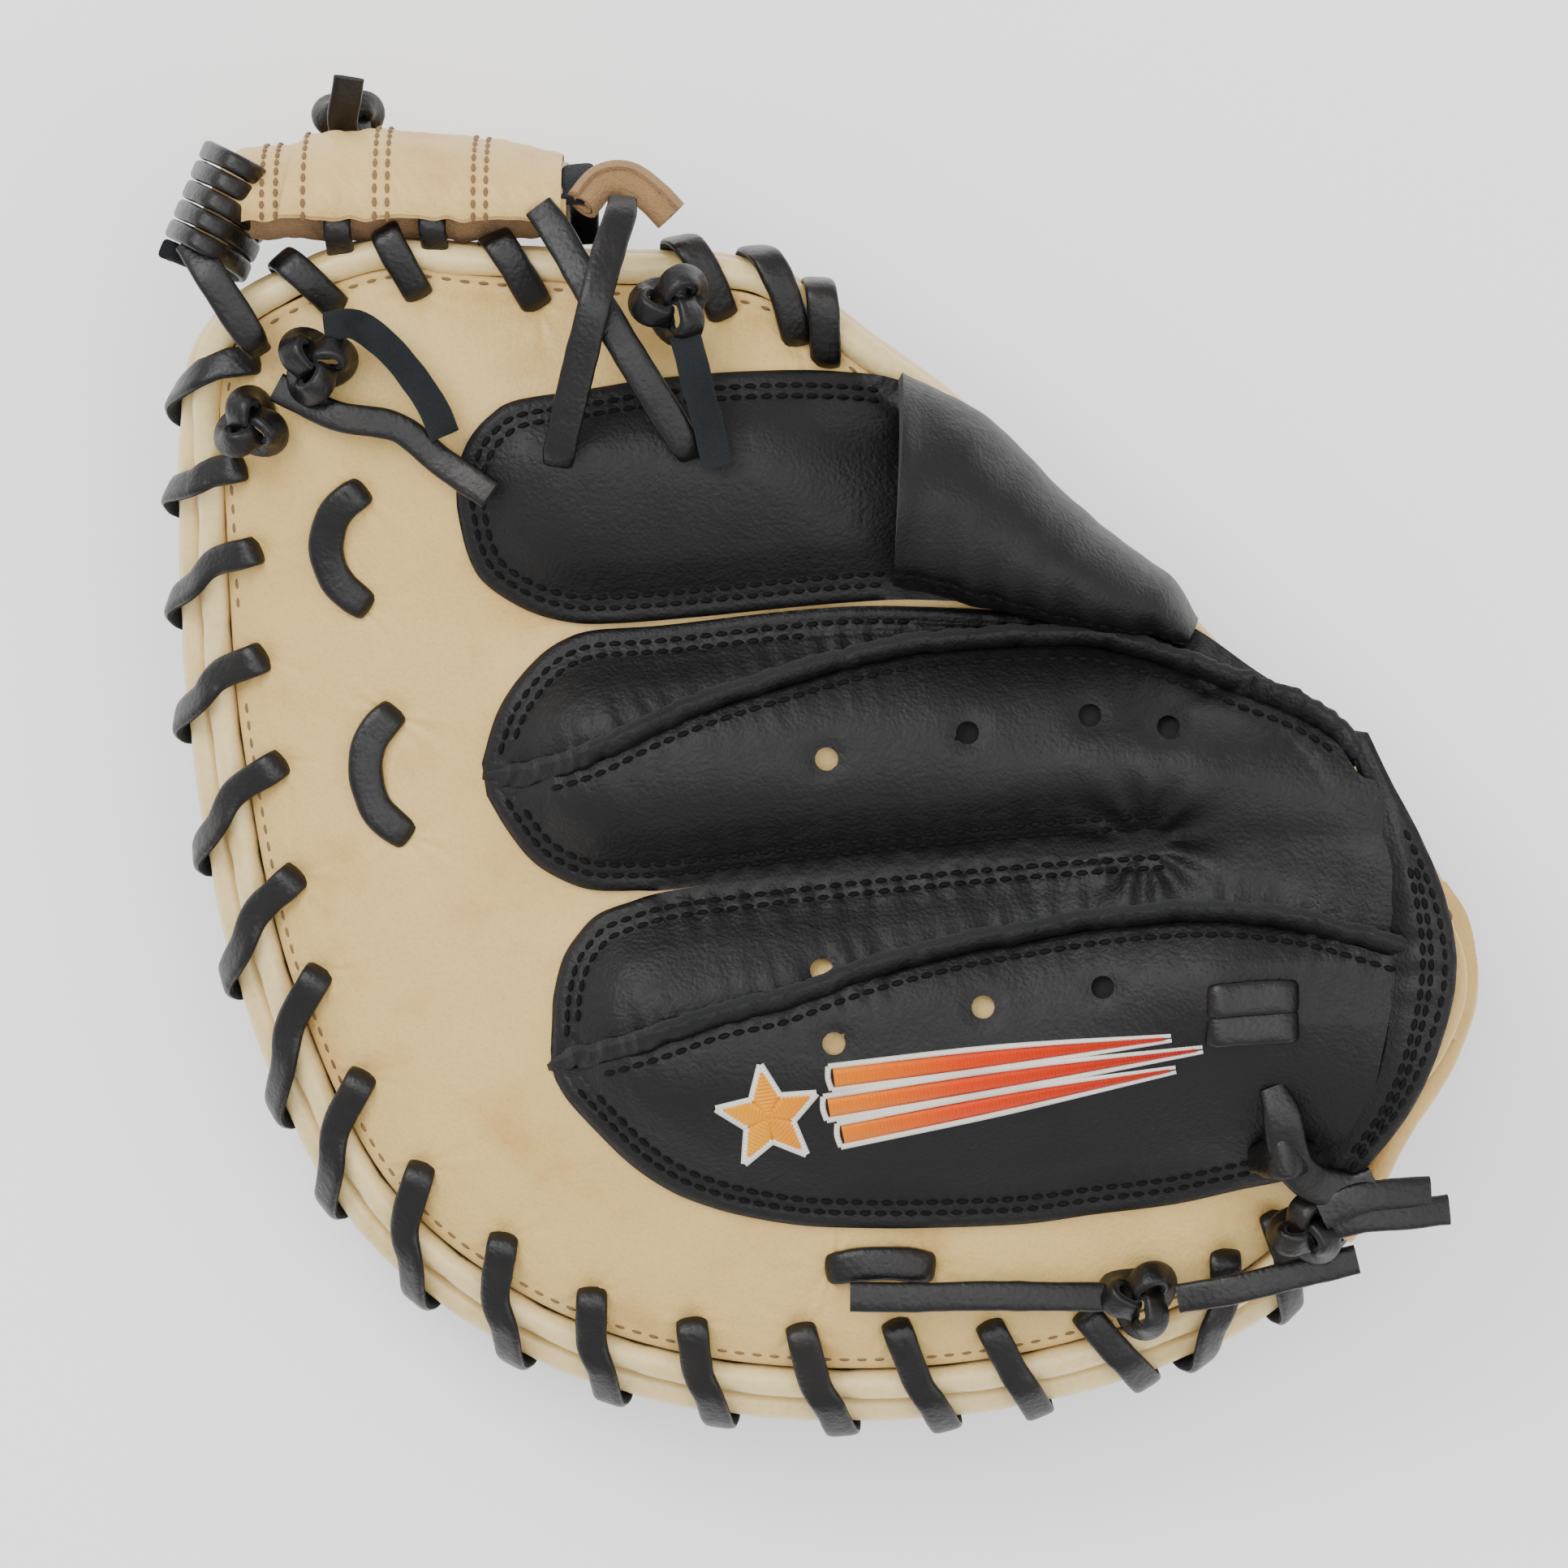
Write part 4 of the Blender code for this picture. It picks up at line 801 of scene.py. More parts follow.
def panel_relief(x, y):
    """Wrinkles that leave the raised seams, the gathered valley between the stalls and slow unevenness."""
    z = 0.30 * field(x, y, 17, 34) + 0.12 * field(x, y, 18, 12)
    for k, line in enumerate(WELT_LINES):
        d, s = nearest(x, y, line)
        mask = 0.55 + 0.45 * waves(s, 31 + k, 37)
        ripple = np.sin(s * 2 * math.pi / 5.4 + 1.3 * waves(s, 33 + k, 14))
        z += 0.42 * mask * ripple * np.exp(-(d / 7.5) ** 2)
        z -= 0.9 * np.exp(-(d / 4.2) ** 2)
    d, s = nearest(x, y, VALLEY_SEAM)
    z -= 2.2 * np.exp(-(d / 3.4) ** 2) * (1 - 0.8 * smoothstep(66, 78, x))
    fade = 1 - 0.85 * smoothstep(62, 78, x)
    z += 0.35 * fade * np.sin(s * 2 * math.pi / 6.3 + 1.5 * waves(s, 40, 19)) * np.exp(-((d - 4) / 5.0) ** 2)
    r = np.hypot(x - 67, y + 11.5)
    turn = np.arctan2(y + 11.5, x - 67)
    z += 0.75 * np.sin(9 * turn + 0.5) * np.exp(-((r - 9) / 6.5) ** 2) - 1.2 * np.exp(-(r / 5.0) ** 2)
    return z


def panel_top(name, outline, x, y):
    """Height of a panel's face; outline is the part of its edge that shows."""
    d, s = nearest(x, y, outline)
    z = back_height(x, y) + PANEL_GAP + PANEL_T + panel_relief(x, y)
    z -= 0.9 * np.exp(-(d / 0.7) ** 2)
    z += 1.3 * smoothstep(5.2, 13, d)
    z -= 0.42 * (np.exp(-((d - 3.2) / 0.75) ** 2) + np.exp(-((d - 5.4) / 0.75) ** 2))
    z += 0.16 * np.sin(s * 2 * math.pi / 3.3) * np.exp(-((d - 4.3) / 1.8) ** 2)
    for hx, hy in VENTS.get(name, []):
        r = np.hypot(x - hx, y - hy)
        z -= 0.7 * np.exp(-(np.maximum(r - HOLE_R, 0) / 1.7) ** 2)
    return np.maximum(z, tan_height(x, y) + 0.5)


def ruled(lower, upper, pitch, count=None):
    """Grid of plan points ruled between two edge curves, about a pitch apart."""
    a = spline(lower, 400)
    b = spline(upper, 400)
    length = max(np.linalg.norm(np.diff(edge, axis=0), axis=1).sum() for edge in (a, b))
    width = np.linalg.norm(b - a, axis=1).max()
    n = int(length / pitch) + 1
    m = count or int(width / pitch) + 2
    a = spline(lower, n)
    b = spline(upper, n)
    t = np.linspace(0, 1, m)[None, :, None]
    return a[:, None, :] * (1 - t) + b[:, None, :] * t


def border(grid):
    """The closed outline of a ruled grid, evenly spaced."""
    loop = np.vstack([grid[:, 0], grid[-1, 1:], grid[-2::-1, -1], grid[0, -2:0:-1]])
    closed = np.vstack([loop, loop[:1]])
    step = np.concatenate([[0], np.cumsum(np.linalg.norm(np.diff(closed, axis=0), axis=1))])
    at = np.arange(0, step[-1], 0.8)
    return np.stack([np.interp(at, step, closed[:, k]) for k in (0, 1)], axis=1)


def punched(grid, holes, pitch):
    """Open round holes in a plan grid: points inside go, points on the brink move onto the circle."""
    keep = np.ones(grid.shape[:2], dtype=bool)
    for hx, hy in holes:
        dx = grid[..., 0] - hx
        dy = grid[..., 1] - hy
        r = np.hypot(dx, dy)
        keep &= r > HOLE_R - 0.55 * pitch
        brink = np.abs(r - HOLE_R) <= 0.75 * pitch
        scale = np.where(brink, HOLE_R / np.maximum(r, 1e-6), 1.0)
        grid[..., 0] = hx + dx * scale
        grid[..., 1] = hy + dy * scale
    return grid, keep


def showing(name, line):
    """Which points of a panel's outline are a visible sewn-down edge, not one tucked under a seam or band."""
    x, y = line[:, 0], line[:, 1]
    shown = x < PANEL_ENDS[name]
    for seam in WELT_LINES:
        shown &= nearest(x, y, seam)[0] > 3.4
    return shown & ~((x > VALLEY_END) & (nearest(x, y, VALLEY_SEAM)[0] < 2.0))


def make_vent_painted_shade():
    """Near-black discs under the vent holes nearest the wrist: painted shade of the hollow behind them."""
    pile = Pile()
    turn = np.linspace(0, 2 * math.pi, 24, endpoint=False)
    for x, y in VENTS["middle_back_panel"][1:] + VENTS["pinky_back_panel"][2:]:
        ring = np.stack([x + 3.3 * np.cos(turn), y + 3.3 * np.sin(turn)], axis=1)
        z = back_height(ring[:, 0], ring[:, 1])
        points = np.vstack([np.column_stack([ring, z + 0.9]), np.column_stack([ring, z + 0.1])])
        faces = [tuple(range(24)), tuple(range(47, 23, -1))]
        faces += [(i, i + 24, (i + 1) % 24 + 24, (i + 1) % 24) for i in range(24)]
        pile.add(points, faces)
    pile.make("vent_painted_shade_discs", VENT_SHADE_PAINT, FOLD)


def make_panel(name, seams=(3.2, 5.4)):
    lower, upper = PANEL_EDGES[name]
    pitch = 1.0
    grid = ruled(lower, upper, pitch)
    edge = border(grid)
    outline = edge[showing(name, edge)]
    grid, keep = punched(grid, VENTS.get(name, []), pitch)
    x, y = grid[..., 0], grid[..., 1]
    top = np.stack([x, y, panel_top(name, outline, x, y)], axis=-1)
    floor = np.stack([x, y, np.minimum(top[..., 2] - 1.5, back_height(x, y) + 0.1)], axis=-1)
    points, faces, second = plate(top, floor, keep)
    piece(name + "_leather", points, faces, [BLACK, CUT_EDGE], FOLD, (name,), second)
    pile = Pile()

    def face(px, py):
        return panel_top(name, outline, px, py) + 0.22

    for inset in seams:
        for run in inside_line(edge, inset):
            hidden = nearest(run[:, 0], run[:, 1], outline)[0] > inset + 0.6
            for part in np.split(run, np.where(hidden)[0]):
                if len(part) > 8:
                    stitches(pile, part[1:], face, pitch=PANEL_STITCH_PITCH)
    if name in SEAM_OVER:
        row = spline([(sx, sy - SEAM_HALF - SEAM_STITCH_GAP) for sx, sy in SEAM_OVER[name]], 300)
        stitches(pile, row[12:-14], face, pitch=PANEL_STITCH_PITCH)
    pile.make(name + "_stitches", BLACK_THREAD, FOLD)


def make_seam_welt(name, line):
    """The raised seam between two panels: a folded lip leaning over the upper panel, cut edge up."""
    points = spline(line, 320)
    s = np.linspace(0, np.linalg.norm(np.diff(points, axis=0), axis=1).sum(), len(points))
    settle = smoothstep(0, 22, np.minimum(s, s[-1] - s))
    crest = back_height(points[:, 0], points[:, 1]) + 1.2 + 2.2 * settle + 0.5 * waves(s, 50, 43) * settle
    crest += 0.2 * waves(s, 52, 9)
    path = np.column_stack([points, crest])
    path[:, 1] += 0.35 * waves(s, 53, 15)
    _, side, normal = frames(path, flat_across(path))
    lean = side * np.sign(side[:, 1:2])
    ends = np.sqrt(np.clip(np.minimum(s, s[-1] - s) / 4.0, 0.12, 1))
    lip = np.array([(-1.0, -1.0), (-0.95, -0.2), (-0.55, 0.45), (0.0, 0.85), (0.55, 1.0), (0.95, 0.95),
                    (1.2, 0.7),
                    (1.15, 0.4), (0.9, 0.2), (0.75, -0.3), (0.8, -1.0)])
    wide = (2.3 + 0.18 * waves(s, 54, 7)) * ends
    tall = (3.1 + 0.35 * waves(s, 55, 11)) * ends
    points, faces = swept(path, lean, np.abs(normal), wide, tall, lip)
    cut = [1 if 4 <= j <= 7 else 0 for _ in range(len(path) - 1) for j in range(len(lip))] + [0, 0]
    pile = Pile()
    pile.add(points, faces, cut)
    pile.make(name + "_lip", [BLACK, CUT_EDGE], FOLD, (name,))


# ---------------------------------------------------------------- rim: welts, binding, laces

def rim_path(start, end, place, count):
    angle = np.linspace(start, end, count)
    inset, z = place(angle)
    xy = at_inset(angle, inset)
    return np.column_stack([xy, z + lift(xy[:, 1])]), angle


def pinched(angle, radius, seed, depth):
    """Welt radius with a squeeze under each lace and small unevenness."""
    wrapped = (angle + math.pi) % (2 * math.pi) - math.pi
    off = rim_distance(wrapped, LACE_EXITS)
    s = angle * 110
    squeeze = depth * np.exp(-(off / 4.2) ** 2)
    return radius * (1 - squeeze + 0.025 * waves(s, seed, 19) + 0.015 * waves(s, seed + 1, 5))


def make_welt(name, place, nodes, seed, start, end, radius=WELT_R, material=CREAM):
    path, angle = rim_path(start, end, place, 760)
    _, side, normal = frames(path, np.tile([0.0, 0.0, 1.0], (len(path), 1)))
    r = pinched(angle, radius, seed, 0.10)
    cap = np.sqrt(np.clip(np.minimum(np.arange(len(r)), np.arange(len(r))[::-1]) / 3.0, 0.1, 1))
    pile = Pile()
    pile.add(*swept(path, side, normal, r * cap, r * cap, ROUND))
    pile.make(name, material, FOLD, nodes)


def make_welts():
    heel = WRIST_FROM - math.radians(1)
    far = math.radians(23) - 2 * math.pi
    make_welt("palm_welt", lambda a: (np.full_like(a, 3.2), np.full_like(a, 37.0)),
              ("palm_welt_finger_side", "palm_welt_thumb_side"), 70, heel, far)
    make_welt("back_welt", lambda a: back_welt((a + math.pi) % (2 * math.pi) - math.pi),
              ("back_welt_finger_side", "back_welt_thumb_side"), 72, heel, far)
    make_welt("heel_binding_roll", lambda a: (np.full_like(a, 2.6), np.full_like(a, 36.6)),
              ("heel_binding",), 74,
              WRIST_FROM + 0.03, WRIST_TO - 0.03, 2.6, TAN)


def lace_turn(hole, leave):
    """One turn of the whip lace: up through the back, over both welts, down into the palm wall.

    Returns the route and, at each of its points, the direction that the lace's grain side faces."""
    start = float(angle_of(*hole))
    end = float(angle_of(*leave))
    end += 2 * math.pi * round((start - end) / (2 * math.pi))
    top = float(tan_height(np.array(hole[0]), np.array(hole[1])))
    half = LACE_T / 2
    welt_inset, welt_z = back_welt((end + math.pi) % (2 * math.pi) - math.pi)
    deep = float(inset_of(*hole))

    def beside(share, inset, z, lean):
        angle = start + (end - start) * share
        x, y = at_inset(angle, inset)
        out = np.array([math.cos(angle) * math.sin(lean), math.sin(angle) * math.sin(lean), math.cos(lean)])
        return (x, y, z + lift(y)), out

    high = top - lift(hole[1])
    turn = [
        beside(0.0, deep, high - 5.0, 0.2),
        beside(0.0, deep, high + 0.2, 0.1),
        beside(0.10, deep - 0.26 * (deep - welt_inset), high + half + 1.3, 0.1),
        beside(0.36, welt_inset, welt_z + WELT_R + half + 0.9, 0.25),
        beside(0.66, welt_inset - 4.8, welt_z + 1.9 + half, 0.8),
        beside(0.90, -0.7 - half, 38.4, 1.35),
        beside(0.99, -0.2 - half, 31.5, 1.57),
        beside(1.02, 1.0, 26.2, 1.8),
        beside(1.03, 4.5, 24.6, 2.4),
    ]
    return np.array([p for p, _ in turn]), np.array([n for _, n in turn])


def make_whip_lace(name, turns, seed):
    pile = Pile()
    for k, (hole, leave) in enumerate(turns):
        path, faces_out = lace_turn(hole, leave)
        across = np.cross(faces_out, np.gradient(path, axis=0))
        across[0] = across[1] = across[2]
        across[:, 2] += RNG.uniform(-0.15, 0.15)
        ribbon(pile, path, across, seed=seed + k, neck=(0.22, 0.2), width=LACE_W * RNG.uniform(0.98, 1.06))
    return pile.make(name + "_turns", [LACE, LACE_BACK], FOLD, (name,))


def make_laces():
    make_whip_lace("rim_lace_fingers", FINGER_STITCHES, 100)
    make_whip_lace("rim_lace_tips", TIP_STITCHES, 140)
    make_whip_lace("rim_lace_thumb", THUMB_STITCHES, 160)
    for k, (name, line) in enumerate(PAD_LOOPS.items()):
        pile = Pile()
        plan = spline(line, 9)
        rise = 2.0 * np.abs(np.sin(np.linspace(0.0, math.pi, 9))) ** 0.5 - 0.9
        path = np.column_stack([plan, back_height(plan[:, 0], plan[:, 1]) + rise])
        path = np.vstack([path[0] - [0, 0, 4.5], path, path[-1] - [0, 0, 4.5]])
        plan_line = flat_across(path)
        plan_line[0] = plan_line[1]
        plan_line[-1] = plan_line[-2]
        ribbon(pile, path, plan_line, width=7.2, thick=3.2, seed=180 + k, neck=(0.3, 0.3))
        pile.make(name + "_lace", [LACE, LACE_BACK], FOLD, (name,))


# ---------------------------------------------------------------- knots and free ends

KNOTS = {
    "web_knot": ((-30.1, 98.8, 90.5), 2.5, 20, THUMB),
    "tip_knot_upper": ((-103.2, 87.0, 82.6), 2.4, 100, THUMB),
    "tip_knot_lower": ((-117.0, 74.6, 75.2), 2.2, 60, THUMB),
    "heel_knot": ((66.5, -105.7, 57.2), 2.5, 10, FINGER),
    "wrist_knot": ((100.6, -91.1, 66.0), 2.2, 40, FINGER),
    "web_top_knot": ((-98.1, 139.0, 44.0), 2.1, 0, THUMB),
}
TAILS = {
    "tip_knot_upper_tail": [(-101, 94.5, 83.2), (-95, 94.9, 86.5), (-89, 90.8, 87.6), (-84.2, 85.5, 86.2),
                            (-79.4, 78.5, 84.6), (-76.6, 72.2, 84.8)],
    "tip_knot_lower_tail": [(-111.5, 82.5, 77.5), (-106, 79.6, 78.0), (-98.4, 76.2, 80.4),
                            (-86.5, 74.0, 80.0),
                            (-77.5, 67.0, 80.6), (-67.4, 60.0, 83.4)],
    "heel_knot_tail_left": [(58.9, -105.4, 57.6), (48, -105.2, 60.2), (34, -105.0, 61.6), (20, -105.3, 61.9),
                            (6.4, -105.2, 61.8)],
    "heel_knot_tail_right": [(74.4, -105.8, 56.6), (86, -103.8, 58.4), (99, -100.6, 58.0),
                             (111.5, -97.6, 57.0)],
}


def make_knot(name, centre, scale, turn, body):
    """An overhand knot pulled tight in a lace."""
    t = np.linspace(0.12, 2 * math.pi - 0.12, 48)
    x = np.sin(t) + 2 * np.sin(2 * t)
    y = np.cos(t) - 2 * np.cos(2 * t)
    z = -1.05 * np.sin(3 * t)
    a = math.radians(turn)
    path = np.stack([x * math.cos(a) - y * math.sin(a), x * math.sin(a) + y * math.cos(a), z], axis=1)
    path = path * scale * [0.92, 0.92, 1.0] + np.array(centre)
    outward = path - np.array(centre)
    outward[:, 2] = 3.2
    across = np.cross(np.gradient(path, axis=0), outward)
    pile = Pile()
    ribbon(pile, path, across, width=5.8, thick=2.4, seed=int(200 + turn), pitch=0.8, up=False)
    pile.make(name + "_lace", [LACE, LACE_BACK], body, (name,))


def make_tails():
    for name, (centre, scale, turn, body) in KNOTS.items():
        make_knot(name, centre, scale, turn, body)
    for k, (name, route) in enumerate(TAILS.items()):
        body = THUMB if name.startswith("tip") else FINGER
        pile = Pile()
        line = ribbon(pile, route, seed=220 + k, up=name != "tip_knot_upper_tail", width=6.2)
        tail = pile.make(name + "_lace", [LACE, LACE_BACK], body, (name,))
    pile = Pile()
    loose = [(-27.5, 92.5, 91), (-26.0, 87, 92.4), (-24.6, 81, 91.6), (-22.9, 75, 90.2), (-20.8, 65.9, 87.4)]
    ribbon(pile, loose, seed=230, up=False)
    pile.make("web_knot_tail_lace", [LACE, LACE_BACK], THUMB, ("web_knot_tail",))
    pile = Pile()
    ribbon(pile, [(104.5, -90.6, 67), (112, -88.6, 68), (121, -87.9, 67), (130, -87.0, 65)], seed=232)
    ribbon(pile, [(103.5, -88.0, 69), (111, -84.6, 69.6), (118, -83.6, 68.6), (126, -83.2, 66)], seed=233)
    pile.make("wrist_knot_tail_lace", [LACE, LACE_BACK], FINGER, ("wrist_knot_tail",))
    pile = Pile()
    ribbon(pile, [(-98.4, 134.5, 51), (-98.9, 139.0, 54), (-98.0, 143.5, 56.5), (-97.4, 147.2, 58)],
           seed=234)
    pile.make("web_top_tail_lace", [LACE, LACE_BACK], THUMB, ("web_top_tail",))


# ---------------------------------------------------------------- thumb hood

def make_hood():
    """The arched leather tunnel over the thumb, cut open at its inner end."""
    n, m = 110, 84
    low = spline([(15.2, 42.0), (32, 38.0), (52, 33.2), (62, 31.6), (71, 30.6), (75.5, 29.2)], n)
    high = spline([(17.0, 85.6), (31.8, 78.6), (41.3, 71.1), (52.1, 60.6), (62.8, 51.2), (73.4, 43.8),
                   (79.0, 35.4)], n)
    crest = np.interp(np.linspace(0, 1, n), [0, 0.2, 0.45, 0.7, 0.88, 1.0], [25, 25.5, 24.5, 21, 16.5, 9.5])
    top = np.zeros((n, m, 3))
    for j in range(m):
        s = j / (m - 1)
        xy = low + (high - low) * (1 - math.cos(math.pi * s)) / 2
        foot_a = back_height(low[:, 0], low[:, 1]) + 3.2
        foot_b = 45.5 + lift(high[:, 1])
        z = foot_a + (foot_b - foot_a) * s + crest * math.sin(math.pi * s) ** 0.82
        top[:, j] = np.column_stack([xy, z])
    along = np.linspace(0, 1, n)[:, None]
    s = np.linspace(0, 1, m)[None, :]
    crumple = 0.5 * field(top[..., 0], top[..., 1], 81, 30) + 0.2 * field(top[..., 0], top[..., 1], 82, 10)
    crumple -= 0.8 * np.exp(-((s - 0.10) / 0.02) ** 2) + 0.6 * np.exp(-((s - 0.155) / 0.02) ** 2)
    crumple += 0.35 * np.sin(along * 46 + 3 * np.sin(s * 5)) * np.exp(-((s - 0.2) / 0.14) ** 2)
    crumple += 1.6 * np.exp(-((along - 0.0) / 0.05) ** 2) * np.sin(math.pi * s)
    du = np.gradient(top, axis=0)
    dv = np.gradient(top, axis=1)
    normal = np.cross(du, dv)
    normal /= np.linalg.norm(normal, axis=2)[..., None]
    normal *= np.sign(normal[..., 2:3] + 1e-9)
    skin = top + normal * crumple[..., None]
    points, faces, second = plate(skin, skin - normal * 2.2)
    piece("thumb_hood_leather", points, faces, [BLACK, CUT_EDGE], FOLD, ("thumb_hood",),
          second)
    pile = Pile()
    for share in (0.10, 0.155):
        row = int(share * (m - 1))
        rail = skin[3:-6, row]

        def height(px, py, rail=rail):
            return np.interp(px, rail[:, 0], rail[:, 2]) + 0.25
        stitches(pile, rail[:, :2], height, pitch=PANEL_STITCH_PITCH)
    pile.make("thumb_hood_stitches", BLACK_THREAD, FOLD)


# ---------------------------------------------------------------- web

def web_point(x, s, grow=0.0):
    """The web's outward-rolled leather: s runs from its raw edge by the back welt to the palm side."""
    t = (x + 131) / 80
    reach = 12.5 - 4.0 * np.abs(2 * t - 1) ** 2 + grow
    middle = 119.4 + 1.5 * np.sin(math.pi * t)
    turn = np.radians(103 - 196 * s)
    wobble = 0.45 * waves(x, 90, 21) + 0.25 * waves(x + 30 * s, 91, 9)
    y = middle + (reach + wobble) * np.cos(turn)
    z = 52 + (27 + wobble) * np.sin(turn) * (1 + grow / 27)
    return np.stack(np.broadcast_arrays(x, y, z), axis=-1)


WEB_FLARE = 5.0


def web_layer(name, x0, x1, s0, s1, grow, thick, materials, nodes, edge_wave):
    n, m = 150, 60
    share = np.linspace(0, 1, m)[None, :]
    start = x0 - WEB_FLARE * np.clip(1 - share * (s1 - s0) / 0.5, 0, 1)
    x = start + (x1 - start) * np.linspace(0, 1, n)[:, None]
    first = s0 + edge_wave * waves(x, 93, 16)
    s = first + (s1 - first) * share
    outer = web_point(x, s, grow + thick / 2)
    inner = web_point(x, s, grow - thick / 2)
    points, faces, second = plate(outer, inner)
    return piece(name, points, faces, materials, THUMB, nodes, second)


TAB_RADII = (4.2, 3.0)


def make_web():
    web_layer("web_roll", -121, -52, -0.02, 1.0, 0.6, 2.6, [TAN, SUEDE], ("web_panel",),
              0.012)
    web_layer("web_underlayer", -120, -53, -0.17, 0.9, -2.4, 2.4, [SUEDE, SUEDE],
              ("web_lining",), 0.016)
    web_layer("web_overlap", -106.0, -53, 0.0, 0.62, 2.5, 1.5, [TAN, SUEDE], (), 0.012)
    pile = Pile()
    for x, grow in ((-114.4, 2.0), (-111.6, 2.0), (-91.2, 3.3), (-88.6, 3.3), (-71.0, 3.3), (-68.4, 3.3),
                    (-105.9, 3.3)):
        for s in np.arange(0.0, 0.66, 0.052):
            ends = [web_point(np.array(x), np.array(s + d), grow + 0.12) for d in (-0.017, 0.0, 0.017)]
            path = np.array(ends)
            _, side, normal = frames(path, np.tile([1.0, 0.0, 0.0], (3, 1)))
            pile.add(*swept(path, side, normal, np.array([0.3, 0.55, 0.3]), np.array([0.25, 0.45, 0.25]),
                            ROUND[::3]))
    pile.make("web_stitches", TAN_THREAD, THUMB)
    pile = Pile()
    line = spline([(-48.5, 119.5, 80.5), (-44.5, 124.2, 78.0), (-39.5, 124.8, 77.4), (-34.5, 121.3, 78.0),
                   (-30.6, 117.3, 78.0)], 40)
    _, side, normal = frames(line, np.tile([0.0, 0.0, 1.0], (40, 1)))
    turn = np.linspace(0, 2 * math.pi * 1.9, 70)
    spiral = np.stack([np.cos(turn) * (0.42 + 0.58 * turn / turn[-1]),
                       np.sin(turn) * (0.42 + 0.58 * turn / turn[-1])],
                      axis=1)
    outer, inner = (line[:, None] + side[:, None] * spiral[None, :, :1] * r
                    + normal[:, None] * spiral[None, :, 1:] * r for r in TAB_RADII)
    pile.add(*plate(outer, inner)[:2])
    pile.make("web_end_rolled_tab", SUEDE, THUMB, ("web_end_roll",))
    make_web_laces()


def make_web_laces():
    pile = Pile()
    start = np.array([-119.2, 129.0, 55.0])
    end = np.array([-127.8, 108.6, 57.0])
    along = (end - start) / np.linalg.norm(end - start)
    out = np.array([along[1], -along[0], 0.0])
    out = out if out[0] < 0 else -out
    turns = 5
    steps = np.linspace(0, 1, turns * 26 + 1)
    angle = steps * turns * 2 * math.pi
    path = (start + (end - start) * steps[:, None] + out * (8.2 * np.cos(angle))[:, None]
            + np.array([0, 0, 27.5]) * np.sin(angle)[:, None])
    ribbon(pile, path, np.tile(along, (len(path), 1)), width=4.1, thick=2.6, seed=240, pitch=1.2, up=False)
    pile.make("web_wrap_lace_turns", [LACE, LACE_BACK], THUMB, ("web_wrap_lace",))
    core = Pile()
    tube(core, [start + along * 1.0, (start + end) / 2, end - along * 1.0], 3.0, squeeze=1.5)
    core.make("web_tip_rolled_end", TAN, THUMB, ("web_tip_roll",))
    routes = {
        "web_strap_crossed": [(-57.6, 119.2, 83), (-54.2, 114.5, 84.2), (-49, 105.5, 87.5), (-44, 97, 91.2),
                              (-36, 84, 91), (-30, 74.5, 88.4), (-26.8, 69.5, 86.0), (-25.9, 67.4, 81)],
        "web_strap_straight": [(-40.3, 120.5, 84), (-40.7, 117, 89), (-42.9, 110, 93.0), (-46, 98, 96.6),
                               (-49.8, 83, 92.5), (-52.6, 71.5, 88.4), (-53.4, 67.4, 85.6),
                               (-53.8, 65.2, 80)],
        "web_strap_tip": [(-129.5, 112.2, 79), (-125, 105.5, 82.4), (-120.2, 98, 81.4), (-116.6, 92.4, 79.4),
                          (-115.0, 89.8, 75)],
    }
    for k, (name, route) in enumerate(routes.items()):
        pile = Pile()
        ribbon(pile, route, seed=250 + k, neck=(0.1, 0.25), width=6.8)
        pile.make(name + "_lace", [LACE, LACE_BACK], THUMB, (name,))
    pile = Pile()
    lace = [(-50.5, 120.5, 80.0), (-50.2, 125.5, 75), (-49.8, 127.8, 67), (-49.5, 127.0, 57),
            (-49, 121.5, 44),
            (-49, 114.5, 36)]
    ribbon(pile, lace, np.tile([1.0, 0.1, 0.0], (6, 1)), seed=260)
    for x in (-79.5, -99.0):
        top = web_point(np.array(x), np.array(-0.05), 0.4)
        reach = [(x, top[1] + 5, top[2] - 1.0), (x, top[1] - 1, top[2] + 1.2),
                 (x + 0.6, top[1] - 5.5, top[2] - 3.5), (x + 0.8, top[1] - 8.0, top[2] - 9.5)]
        ribbon(pile, reach, np.tile([1.0, 0.0, 0.0], (4, 1)), width=5.6, seed=262 + int(x))
    pile.make("web_end_lace_turns", [LACE, LACE_BACK], THUMB, ("web_end_lace",))


# ---------------------------------------------------------------- heel and wrist

def over_panels(x, y):
    return back_height(np.asarray(x, dtype=float), np.asarray(y, dtype=float)) + PANEL_GAP + PANEL_T


